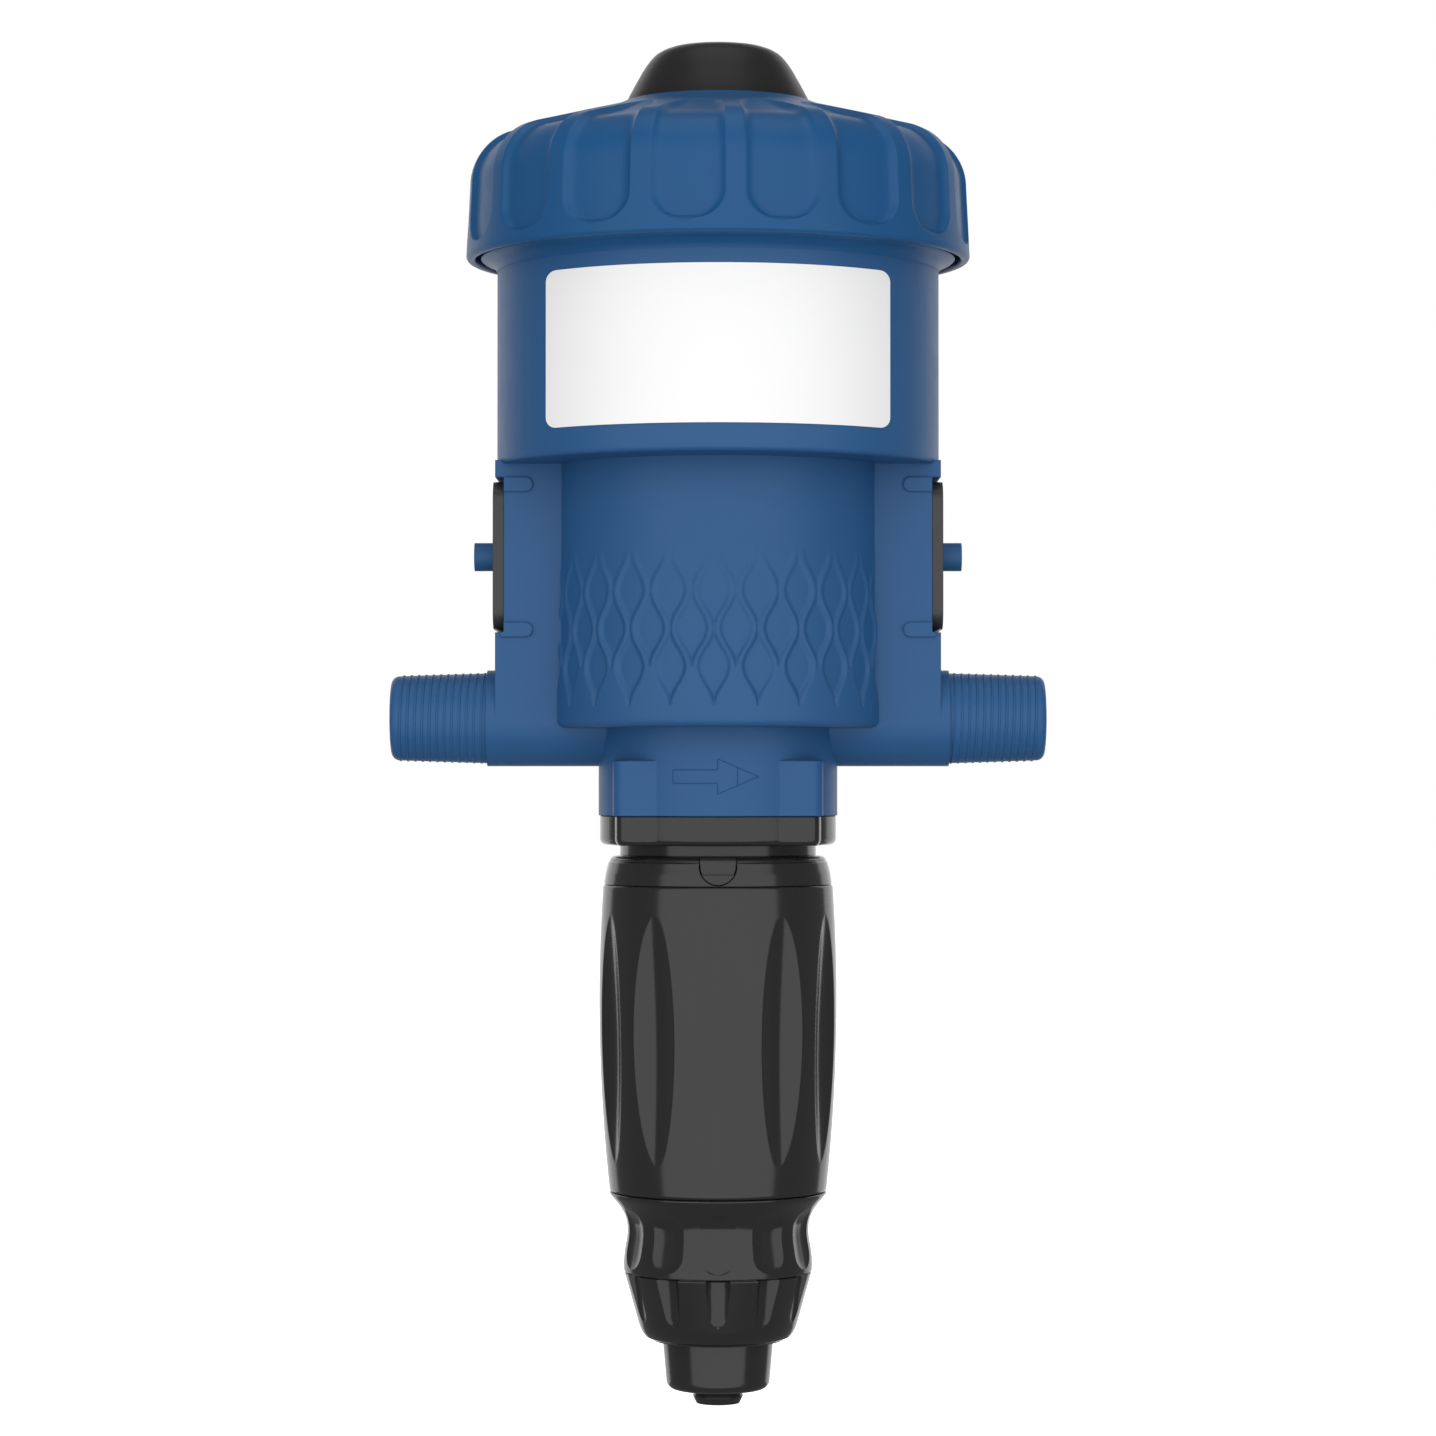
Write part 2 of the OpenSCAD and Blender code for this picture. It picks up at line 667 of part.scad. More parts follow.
// Legs that meet the rod guide at the bottom of the stroke
module trip_legs() {
    color(steel) {
        translate([-leg_bar_w / 2, -leg_y - leg_r - 1, z_leg_bar])
            cube([leg_bar_w, 2 * (leg_y + leg_r + 1), leg_bar_t]);
        for (s = [-1, 1]) translate([0, s * leg_y, 0]) rod(leg_r, z_floor + 0.5, z_leg_bar + 0.1);
    }
}

module inlet_valves() {
    color(rubber) around(4) translate([0, -inlet_circle_r, 0]) {
        rod(inlet_hole_r + 2.5, z_crown_top + seat_gap, z_crown_top + seat_gap + 2.5);
        rod(3.2, z_crown_top + seat_gap + 2, z_yoke);
        rod(1.95, z_yoke - 0.1, z_yoke + yoke_t);
    }
}

module outlet_valve() {
    z1 = z_crown - seat_gap - gear_travel;
    color(rubber) ring(z1 - 2.5, z1, outlet_hole_r + 2.5, 3.5);
}

module trip_spring() {
    color(steel) coil(outlet_hole_r + 3, 0.7, z_crown_top, z_yoke, 4);
}

module plunger_rod() {
    color(steel) {
        rod(rod_r, z_plunger + plunger_h - 3, z_skirt);
        rod(rod_r - 1, z_skirt - 0.1, z_skirt + 5 + rod_nut_t + 2);
    }
}

module rod_nut() {
    color(steel) difference() {
        translate([0, 0, z_skirt + 5]) cylinder(r = rod_r + 2, h = rod_nut_t, $fn = 6);
        rod(rod_r - 1, z_skirt + 4, z_skirt + 10);
    }
}

// Plunger head on the rod's lower end
module plunger() {
    color(white) difference() {
        rotate_extrude() polygon([[0, z_plunger], [plunger_r - 1, z_plunger],
            [plunger_r, z_plunger + 1], [plunger_r, z_plunger + 1.9], [plunger_r - 2, z_plunger + 1.9],
            [plunger_r - 2, z_plunger + 4.1], [plunger_r, z_plunger + 4.1],
            [plunger_r, z_plunger + plunger_h], [0, z_plunger + plunger_h]]);
        rod(rod_r, z_plunger + plunger_h - 3, z_plunger + plunger_h + 1);
    }
}

module plunger_seal() {
    color(rubber) o_ring(plunger_r - 0.9, 1, z_plunger + 3);
}

// Dosing stem: flange in the collar, spigot in the neck, slots for the drive pins
module dosing_stem() {
    seat_r = stem_bore_r + 1.5;
    color(black) difference() {
        rotate_extrude() polygon([[foot_bore_r, z_foot], [foot_r, z_foot], [foot_r, z_knob],
            [stem_r, z_knob], [stem_r, z_show], [stem_r + 2.4, z_show],
            [stem_r + 2.4, z_neck - 4], [flange_r, z_neck - 4], [flange_r, z_neck],
            [spigot_r, z_neck], [spigot_r, z_neck + 6.3], [spigot_r - 2.6, z_neck + 6.3],
            [spigot_r - 2.6, z_neck + 9.1], [spigot_r, z_neck + 9.1], [spigot_r, z_stem_top],
            [seat_r, z_stem_top], [seat_r, z_stem_top - guide_t],
            [stem_bore_r, z_stem_top - guide_t], [stem_bore_r, z_knob + 5], [foot_bore_r, z_knob + 5]]);
        for (a = [0, 180]) rotate([0, 0, a]) translate([stem_bore_r - 4, 0, 0]) rotate([90, 0, 90])
            linear_extrude(12) {
                for (z = [z_pin, z_pin + barrel_travel]) translate([0, z]) circle(r = pin_r + 0.3);
                translate([-pin_r - 0.3, z_pin]) square([2 * pin_r + 0.6, barrel_travel]);
            }
    }
}

module stem_seal() {
    color(rubber) o_ring(spigot_r - 1.25, 1.3, z_neck + 7.7);
}

// Guide for the plunger rod, with four holes for the dosed liquid
module rod_guide() {
    color(white) difference() {
        rod(stem_bore_r + 1.4, z_stem_top - guide_t, z_stem_top);
        rod(rod_r + slide_gap, z_stem_top - guide_t - 1, z_stem_top + 1);
        around(4, 45) translate([0, -13, z_stem_top - guide_t - 1]) cylinder(r = 3.5, h = guide_t + 2);
    }
}

module stem_collar() {
    color(black) difference() {
        translate([0, 0, z_collar]) linear_extrude(collar_h) neck_section(collar_r, collar_half);
        rod(stem_r + 2.6, z_collar - 1, z_neck + 1);
        rod(flange_r + 0.1, z_neck - 4, z_neck + 1);
        for (x = [-screw_xy, screw_xy], y = [-screw_xy, screw_xy]) translate([x, y, z_collar - 1]) {
            cylinder(r = screw_r + slide_gap, h = collar_h + 2);
            cylinder(r = screw_r + 1.8, h = 4);
        }
    }
}

module collar_screws() {
    color(steel) for (x = [-screw_xy, screw_xy], y = [-screw_xy, screw_xy]) translate([x, y, 0])
        difference() {
            union() {
                rod(screw_r, z_collar + 2.9, z_neck + screw_bite);
                rod(screw_r + 1.6, z_collar + 0.4, z_collar + 3);
            }
            translate([0, 0, z_collar - 1]) cylinder(r = 0.9 * screw_r, h = 3, $fn = 6);
        }
}

// Lock ring: turned down against the knob to hold the chosen ratio
module lock_ring() {
    color(black) difference() {
        rotate_extrude() polygon(concat([[stem_r + turn_gap, z_lock + turn_gap],
            [knob_r - 1.4, z_lock + turn_gap], [knob_r - 1.9, z_lock + 3.5],
            [knob_r - 2.7, z_lock + 6.6]],
            arc(knob_r - 4.8, z_show - turn_gap - 1.8, 1.8, 10, 90, 5),
            [[stem_r + turn_gap, z_show - turn_gap]]));
        radial(stem_r + 2, knob_r + 5) u_outline(5.3, z_lock + 0.5, z_show + 5);
    }
}

// Tongue let into the front of the lock ring
module lock_tab() {
    color(black) intersection() {
        rotate_extrude() polygon([[stem_r + 2.1, z_lock + turn_gap], [knob_r - 1.2, z_lock + turn_gap],
            [knob_r - 1.5, z_lock + 3.5], [knob_r - 2.2, z_lock + 3.5], [knob_r - 3, z_show - 1.2],
            [knob_r - 3.6, z_show - turn_gap], [stem_r + 2.1, z_show - turn_gap]]);
        radial(stem_r + 2.1, knob_r + 5) u_outline(5.15, z_lock + 0.65, z_show + 4);
    }
}

// Ratio knob: a long sleeve with pointed flutes, hollow where the drive pins run
module ratio_knob() {
    z_mid = z_knob + 55.2;
    relief_r = pin_reach + 0.4;
    color(black) difference() {
        rotate_extrude() difference() {
            intersection() {
                translate([stem_r + turn_gap, z_knob + turn_gap]) square([20, knob_h - turn_gap]);
                translate([knob_r - knob_curve_r, z_mid]) circle(r = knob_curve_r, $fn = 720);
            }
            translate([0, z_pin - pin_r - 4]) square([relief_r, barrel_travel + 2 * pin_r + 8]);
        }
        around(flute_count) knob_flute();
    }
}

// Scallop cut by a thin torus that bends the other way from the knob
module knob_flute() {
    minor = 12;
    outer = 463.8;
    floor_r = knob_r - 2.84;
    translate([0, -floor_r - outer, z_knob + 35.5]) rotate([90, 0, 90]) rotate([0, 0, -7])
        rotate_extrude(angle = 14, $fn = 720) translate([outer - minor, 0]) circle(r = minor, $fn = 60);
}

// Dosing barrel: the plunger works in its bore, and its tail slides in the grip's riser
module dosing_barrel() {
    z_top = z_barrel + barrel_h;
    tail_r = riser_bore_r - slide_gap;
    centring_r = stem_bore_r - slide_gap;
    color(white) difference() {
        union() {
            rotate_extrude() polygon([[3, z_foot], [tail_r, z_foot], [tail_r, z_foot + 2.5],
                [tail_r - 1.7, z_foot + 2.5], [tail_r - 1.7, z_foot + 4.7], [tail_r, z_foot + 4.7],
                [tail_r, z_barrel], [centring_r, z_barrel], [centring_r, z_barrel + 4],
                [barrel_r, z_barrel + 4], [barrel_r, z_top - 4], [centring_r, z_top - 4],
                [centring_r, z_top], [barrel_bore_r + 1.5, z_top], [barrel_bore_r, z_top - 1.5],
                [barrel_bore_r, z_barrel + 4], [3, z_barrel + 4]]);
            for (s = [0, 180]) rotate([0, 0, s]) translate([barrel_r - 2, 0, z_pin]) rotate([0, 90, 0])
                cylinder(r = 6, h = centring_r - barrel_r + 1);
        }
        for (s = [0, 180]) rotate([0, 0, s]) translate([barrel_bore_r + 1.5, 0, z_pin])
            rotate([0, 90, 0]) cylinder(r = pin_r, h = 20);
    }
}

// Drive pins: pass through the stem's slots into the knob's thread space
module drive_pins() {
    color(steel) for (s = [0, 180]) rotate([0, 0, s])
        translate([barrel_bore_r + 1.5, 0, z_pin]) rotate([0, 90, 0])
            cylinder(r = pin_r, h = pin_reach - barrel_bore_r - 1.5);
}

module barrel_seal() {
    color(rubber) o_ring(riser_bore_r - 0.95, 0.85, z_foot + 3.6);
}

// Outer line of the grip, from its lower edge over the waist to the flare under the knob
function grip_line(inset, past = 0) = [[stem_r + 1.2 - inset, z_grip - past],
    [stem_r + 1.4 - inset, z_grip + 3], [stem_r + 0.2 - inset, z_grip + 12.6],
    [stem_r + 0.6 - inset, z_grip + 15.3], [stem_r + 2.3 - inset, z_grip + 18.4],
    [stem_r + 5.4 - inset, z_knob + past]];

// Lower grip: carries the stem's foot above and the suction valve below
module lower_grip() {
    z_spigot = z_seat + gasket_t;
    flute_half_w = 5;
    z_flute = z_grip + 1.5;
    flute_h = 17.6;
    color(black) difference() {
        rotate_extrude() polygon(concat([[grip_spigot_r, z_spigot], [grip_spigot_r, z_grip]], grip_line(0),
            [[foot_r + 0.1, z_knob], [foot_r + 0.1, z_foot], [riser_r, z_foot],
                [riser_r, z_riser_top], [riser_bore_r, z_riser_top], [riser_bore_r, z_web + 2],
                [2.6, z_web + 2], [2.6, z_web], [chamber_r, z_web], [chamber_r, z_spigot]]));
        intersection() {
            rotate_extrude() polygon(concat(grip_line(1.2, 1),
                [[stem_r + 19, z_knob + 1], [stem_r + 19, z_grip - 1]]));
            around(flute_count) radial(stem_r - 5.5, stem_r + 17) translate([0, z_flute]) {
                for (z = [flute_half_w, flute_h - flute_half_w]) translate([0, z]) circle(r = flute_half_w);
                translate([-flute_half_w, flute_half_w])
                    square([2 * flute_half_w, flute_h - 2 * flute_half_w]);
            }
        }
        around(4, 45) translate([0, -4.8, z_web - 1]) cylinder(r = 1.5, h = 4);
    }
}

// Conical nut that clamps the hose nipple against the suction valve
module valve_nut() {
    top_r = stem_r + 1.2;
    foot = 19.1;
    line = [[foot, z_cone], [foot + 1.9, z_cone + 1.1], [foot + 2.8, z_cone + 2.3],
        [foot + 3.8, z_cone + 4.6], [top_r - 0.5, z_grip - 2.5], [top_r, z_grip]];
    half_w = 3.3;
    spigot_out_r = grip_spigot_r + slide_gap;
    color(black) difference() {
        rotate_extrude() polygon(concat(line, [[spigot_out_r, z_grip], [spigot_out_r, z_seat],
            [seat_flange_r + slide_gap, z_seat], [seat_flange_r + slide_gap, z_seat - seat_flange_t],
            [nut_bore_r + slide_gap, z_seat - seat_flange_t], [nut_bore_r + slide_gap, z_cone]]));
        intersection() {
            rotate_extrude() polygon([[foot + 3.6, z_cone + 4], [top_r - 2.3, z_grip + 1],
                [top_r + 8, z_grip + 1], [top_r + 8, z_cone + 4]]);
            around(flute_count) radial(foot - 3, top_r + 6) u_outline(half_w, z_cone + 5, z_grip + 3);
        }
    }
}

module seat_gasket() {
    color(rubber) ring(z_seat, z_seat + gasket_t, seat_flange_r, chamber_r + 0.2);
}

// Suction valve: a guided poppet on the nipple's upper end, clear of the barrel when lifted
module suction_poppet() {
    z_low = z_seat + seat_gap + gasket_t;
    color(ivory) {
        rod(suction_r + 3, z_low, z_low + 2.2);
        rod(2.5, z_low + 2, z_foot - valve_lift - 1.9);
    }
}

module poppet_seal() {
    color(rubber) ring(z_seat + seat_gap, z_seat + seat_gap + gasket_t, suction_r + 2.6, suction_r - 1);
}

module suction_spring() {
    color(steel) coil(4.4, 0.6, z_seat + seat_gap + gasket_t + 2.2, z_web, 6);
}

// Hose nipple: barbs for the suction hose, thread for the hose nut and the valve seat
module hose_nipple() {
    z_boss = z_hose_nut + hose_nut_h - 5.6;
    z_flange = z_seat - seat_flange_t;
    boss_r = nut_bore_r - slide_gap;
    teeth = [for (i = [0:2]) each [[barb_r, 2 + i * 3.4], [barb_r - 0.9, 5 + i * 3.4]]];
    color(black) rotate_extrude() polygon(concat([[suction_r, 0], [barb_r - 1, 0]], teeth,
        [[barb_r - 0.9, z_boss], [boss_r, z_boss], [boss_r, z_flange], [seat_flange_r, z_flange],
            [seat_flange_r, z_seat], [suction_r, z_seat]]));
}

// Hose nut: draws the clamp ring up over the hose end
module hose_nut() {
    z_top = z_hose_nut + hose_nut_h;
    round_r = 2.6;
    color(black) rotate_extrude() polygon(concat([[barb_r + 2.3, z_hose_nut]],
        arc(hose_nut_r - round_r - 0.8, z_hose_nut + round_r, round_r, -90, -8, 5),
        [[hose_nut_r, z_top - 1.4], [hose_nut_r + 0.3, z_top - 0.6], [hose_nut_r + 0.3, z_top],
            [nut_bore_r, z_top], [nut_bore_r, z_hose_nut + 2.2]]));
}

module clamp_ring() {
    color(white) ring(z_hose_nut + 2.3, z_hose_nut + hose_nut_h - 5.8, nut_bore_r - slide_gap,
        barb_r + 1.3);
}

pump_body();
top_cover();
cover_seal();
vent_button();
vent_stem();
vent_seal();
vent_spring();
wall_bracket();
label_plate();
piston_crown();
piston_seal();
piston_tube();
skirt_seal();
crown_screws();
gear_yoke();
trip_rod();
trip_legs();
inlet_valves();
outlet_valve();
trip_spring();
plunger_rod();
rod_nut();
plunger();
plunger_seal();
dosing_stem();
stem_seal();
rod_guide();
stem_collar();
collar_screws();
lock_ring();
lock_tab();
ratio_knob();
dosing_barrel();
drive_pins();
barrel_seal();
lower_grip();
valve_nut();
seat_gasket();
suction_poppet();
poppet_seal();
suction_spring();
hose_nipple();
hose_nut();
clamp_ring();
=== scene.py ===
"""Looks of a water-driven dosing pump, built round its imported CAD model."""

import math

import bmesh
import bpy
import numpy as np
from mathutils import Matrix, Vector


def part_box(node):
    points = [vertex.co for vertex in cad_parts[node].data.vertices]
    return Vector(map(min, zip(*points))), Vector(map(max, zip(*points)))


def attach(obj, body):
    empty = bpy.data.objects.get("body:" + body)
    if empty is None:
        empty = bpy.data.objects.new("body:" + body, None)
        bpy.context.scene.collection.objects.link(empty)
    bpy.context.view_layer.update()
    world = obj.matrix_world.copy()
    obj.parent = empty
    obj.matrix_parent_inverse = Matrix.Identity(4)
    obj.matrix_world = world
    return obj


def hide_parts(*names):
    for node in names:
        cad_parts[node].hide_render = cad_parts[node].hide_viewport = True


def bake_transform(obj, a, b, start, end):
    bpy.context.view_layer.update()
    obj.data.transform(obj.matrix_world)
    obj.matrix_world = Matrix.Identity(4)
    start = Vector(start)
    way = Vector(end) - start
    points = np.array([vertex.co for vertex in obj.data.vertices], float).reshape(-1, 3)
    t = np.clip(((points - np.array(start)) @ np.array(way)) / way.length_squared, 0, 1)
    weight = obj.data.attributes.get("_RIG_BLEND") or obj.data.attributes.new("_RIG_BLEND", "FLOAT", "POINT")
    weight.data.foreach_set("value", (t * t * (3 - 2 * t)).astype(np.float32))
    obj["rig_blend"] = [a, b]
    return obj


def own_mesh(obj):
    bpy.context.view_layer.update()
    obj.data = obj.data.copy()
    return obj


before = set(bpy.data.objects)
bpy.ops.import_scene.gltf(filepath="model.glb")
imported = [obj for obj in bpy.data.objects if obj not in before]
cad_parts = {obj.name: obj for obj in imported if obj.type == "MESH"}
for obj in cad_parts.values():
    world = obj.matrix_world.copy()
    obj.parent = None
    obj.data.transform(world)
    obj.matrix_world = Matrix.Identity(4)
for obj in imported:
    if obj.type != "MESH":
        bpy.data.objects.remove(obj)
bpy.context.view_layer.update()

# Camera: it stands in front of the pump, level with the knob's upper end, and looks slightly up
# through a long lens, so that the drum and the knob keep straight sides.
eye = bpy.data.objects.new("eye", bpy.data.cameras.new("eye"))
eye.data.sensor_width = 36.0
eye.data.lens = 106.5
eye.location = (0.0, -1.2325, 0.1815)
eye.rotation_euler = (Vector((0.0, 0.0, 0.1981)) - eye.location).to_track_quat("-Z", "Y").to_euler()
bpy.context.scene.collection.objects.link(eye)
bpy.context.scene.camera = eye
bpy.context.scene.view_settings.view_transform = "Standard"

# Studio: a pale floor under a white room. A broad softbox in front gives the black plastic its one
# wide light band, a second one behind gives it bright edges, and the dark between them is the room.
floor_mesh = bpy.data.meshes.new("studio_floor")
floor_mesh.from_pydata([(-6, -6, 0), (6, -6, 0), (6, 6, 0), (-6, 6, 0)], [], [(0, 1, 2, 3)])
floor = bpy.data.objects.new("studio_floor", floor_mesh)
floor.visible_glossy = floor.visible_diffuse = floor.visible_shadow = False
bpy.context.scene.collection.objects.link(floor)
floor_paint = bpy.data.materials.new("studio_floor")
floor_paint.use_nodes = True
floor_paint.node_tree.nodes["Principled BSDF"].inputs["Base Color"].default_value = (0.93, 0.93, 0.93, 1)
floor_paint.node_tree.nodes["Principled BSDF"].inputs["Roughness"].default_value = 0.7
floor_paint.node_tree.nodes["Principled BSDF"].inputs["Emission Color"].default_value = (1, 1, 1, 1)
floor_paint.node_tree.nodes["Principled BSDF"].inputs["Emission Strength"].default_value = 1.0
floor_mesh.materials.append(floor_paint)
floor_mesh.transform(Matrix.Translation((0, 0, -0.0015)))

room = bpy.data.worlds.new("studio_room")
bpy.context.scene.world = room
room.use_nodes = True
room_nodes = room.node_tree.nodes
room_links = room.node_tree.links
seen = room_nodes.new("ShaderNodeLightPath")
level = None
for kind, brightness in (("Is Glossy Ray", 0.20), ("Is Diffuse Ray", 0.46), ("Is Camera Ray", 1.0)):
    share = room_nodes.new("ShaderNodeMath")
    share.operation = "MULTIPLY_ADD"
    share.inputs[1].default_value = brightness
    share.inputs[2].default_value = 0.0
    room_links.new(seen.outputs[kind], share.inputs[0])
    if level:
        room_links.new(level, share.inputs[2])
    level = share.outputs["Value"]
room_links.new(level, room_nodes["Background"].inputs["Strength"])
room_nodes["Background"].inputs["Color"].default_value = (1, 1, 1, 1)


def softbox(name, place, aim, size, radiance):
    """Soft rectangular light of an even radiance, hidden from the camera."""
    data = bpy.data.lights.new(name, "AREA")
    data.shape = "RECTANGLE"
    data.size, data.size_y = size
    data.energy = radiance * math.pi * size[0] * size[1]
    light = bpy.data.objects.new(name, data)
    light.location = place
    light.rotation_euler = (Vector(aim) - Vector(place)).to_track_quat("-Z", "Y").to_euler()
    light.visible_camera = False
    bpy.context.scene.collection.objects.link(light)
    return light


softbox("front_softbox", (0.0, -2.0, 0.3), (0.0, 0.0, 0.3), (7.2, 3.3), 1.1)
softbox("rear_softbox", (0.0, 1.9, 0.5), (0.0, 0.0, 0.3), (4.4, 2.4), 0.9)
softbox("top_softbox", (0.0, -0.3, 2.2), (0.0, 0.0, 0.3), (1.6, 1.6), 1.0)

# Pump body: one blue nylon moulding with drum, lower housing, side blocks, port tubes and neck.
# Its solid is the CAD node, and its finish is a satin mould skin with softly broken edges.


def moulded(name, colour, deep, roughness, grain=0.00025, rise=0.00002, edge=0.0004, sheen=0.5):
    """Finish of a moulded piece: a colour that drifts a little, soft edges and a finely grained skin."""
    finish = bpy.data.materials.new(name)
    finish.use_nodes = True
    nodes, links = finish.node_tree.nodes, finish.node_tree.links
    shader = nodes["Principled BSDF"]
    place = nodes.new("ShaderNodeTexCoord")
    drift = nodes.new("ShaderNodeTexNoise")
    drift.inputs["Scale"].default_value = 26.0
    drift.inputs["Detail"].default_value = 3.0
    tint = nodes.new("ShaderNodeMix")
    tint.data_type = "RGBA"
    tint.inputs["A"].default_value = (*deep, 1)
    tint.inputs["B"].default_value = (*colour, 1)
    links.new(place.outputs["Object"], drift.inputs["Vector"])
    links.new(drift.outputs["Fac"], tint.inputs["Factor"])
    links.new(tint.outputs["Result"], shader.inputs["Base Color"])
    wear = nodes.new("ShaderNodeTexNoise")
    wear.inputs["Scale"].default_value = 140.0
    wear.inputs["Detail"].default_value = 4.0
    gloss = nodes.new("ShaderNodeMapRange")
    gloss.inputs["To Min"].default_value = roughness * 0.9
    gloss.inputs["To Max"].default_value = roughness * 1.12
    links.new(place.outputs["Object"], wear.inputs["Vector"])
    links.new(wear.outputs["Fac"], gloss.inputs["Value"])
    links.new(gloss.outputs["Result"], shader.inputs["Roughness"])
    skin = nodes.new("ShaderNodeTexNoise")
    skin.inputs["Scale"].default_value = 1 / grain
    skin.inputs["Detail"].default_value = 2.0
    bump = nodes.new("ShaderNodeBump")
    bump.inputs["Strength"].default_value = 0.35
    bump.inputs["Distance"].default_value = rise
    links.new(place.outputs["Object"], skin.inputs["Vector"])
    links.new(skin.outputs["Fac"], bump.inputs["Height"])
    if edge:
        soft = nodes.new("ShaderNodeBevel")
        soft.samples = 4
        soft.inputs["Radius"].default_value = edge
        links.new(soft.outputs["Normal"], bump.inputs["Normal"])
    links.new(bump.outputs["Normal"], shader.inputs["Normal"])
    shader.inputs["Specular IOR Level"].default_value = sheen
    return finish


def paint(finish, *nodes):
    """Gives CAD nodes a finish."""
    for node in nodes:
        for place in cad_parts[node].material_slots:
            place.material = finish


blue_nylon = moulded("blue_nylon", (0.019, 0.093, 0.240), (0.015, 0.084, 0.222), 0.45, edge=0.0006, sheen=0.3)
paint(blue_nylon, "pump_body")

# Scale relief: the foot of the lower housing is moulded as staggered scales with thin, sinuous
# ridges between them. The skin lies over the plain recesses of the solid housing.


def node_tree(name, *sizes):
    """Empty geometry tree with a mesh input, named size inputs and a finish input."""
    tree = bpy.data.node_groups.new(name, "GeometryNodeTree")
    tree.interface.new_socket("Blank", in_out="INPUT", socket_type="NodeSocketGeometry")
    for size in sizes:
        tree.interface.new_socket(size, in_out="INPUT", socket_type="NodeSocketFloat")
    tree.interface.new_socket("Finish", in_out="INPUT", socket_type="NodeSocketMaterial")
    tree.interface.new_socket("Piece", in_out="OUTPUT", socket_type="NodeSocketGeometry")
    return tree, tree.nodes.new("NodeGroupInput").outputs


def sums(tree, operation, *values):
    """Math node on sockets or numbers; gives its result."""
    node = tree.nodes.new("ShaderNodeMath")
    node.operation = operation
    for socket, value in zip(node.inputs, values):
        if isinstance(value, (int, float)):
            socket.default_value = value
        else:
            tree.links.new(value, socket)
    return node.outputs[0]


def close_tree(tree, geometry, finish):
    """Ends a tree in Realize Instances and Set Material."""
    real = tree.nodes.new("GeometryNodeRealizeInstances")
    dressed = tree.nodes.new("GeometryNodeSetMaterial")
    end = tree.nodes.new("NodeGroupOutput")
    tree.links.new(geometry, real.inputs["Geometry"])
    tree.links.new(real.outputs["Geometry"], dressed.inputs["Geometry"])
    tree.links.new(finish, dressed.inputs["Material"])
    tree.links.new(dressed.outputs["Geometry"], end.inputs["Piece"])


def number(tree, name):
    """Value of a named attribute of the blank."""
    node = tree.nodes.new("GeometryNodeInputNamedAttribute")
    node.data_type = "FLOAT"
    node.inputs["Name"].default_value = name
    return node.outputs["Attribute"]


def polar(tree, geometry, radius, angle, height):
    """Moves each point to a radius, an angle from the front and a height."""
    where = tree.nodes.new("ShaderNodeCombineXYZ")
    tree.links.new(sums(tree, "MULTIPLY", radius, sums(tree, "SINE", angle)), where.inputs["X"])
    back = sums(tree, "MULTIPLY", radius, sums(tree, "COSINE", angle))
    tree.links.new(sums(tree, "MULTIPLY", back, -1.0), where.inputs["Y"])
    tree.links.new(height, where.inputs["Z"])
    moved = tree.nodes.new("GeometryNodeSetPosition")
    tree.links.new(geometry, moved.inputs["Geometry"])
    tree.links.new(where.outputs["Vector"], moved.inputs["Position"])
    return moved.outputs["Geometry"]


def shaded(piece, crease):
    """Turns faces outwards, closes doubles and keeps creases sharper than an angle in degrees."""
    shell = bmesh.new()
    shell.from_mesh(piece.data)
    bmesh.ops.remove_doubles(shell, verts=shell.verts, dist=1e-6)
    bmesh.ops.delete(shell, geom=[e for e in shell.edges if not e.link_faces], context="EDGES")
    bmesh.ops.recalc_face_normals(shell, faces=shell.faces)
    shell.to_mesh(piece.data)
    shell.free()
    piece.data.shade_smooth()
    piece.data.set_sharp_from_angle(angle=math.radians(crease))
    return piece


def blank(name, mesh=None):
    """Object for a piece, with a mesh or an empty one."""
    piece = bpy.data.objects.new(name, mesh or bpy.data.meshes.new(name))
    bpy.context.scene.collection.objects.link(piece)
    return piece


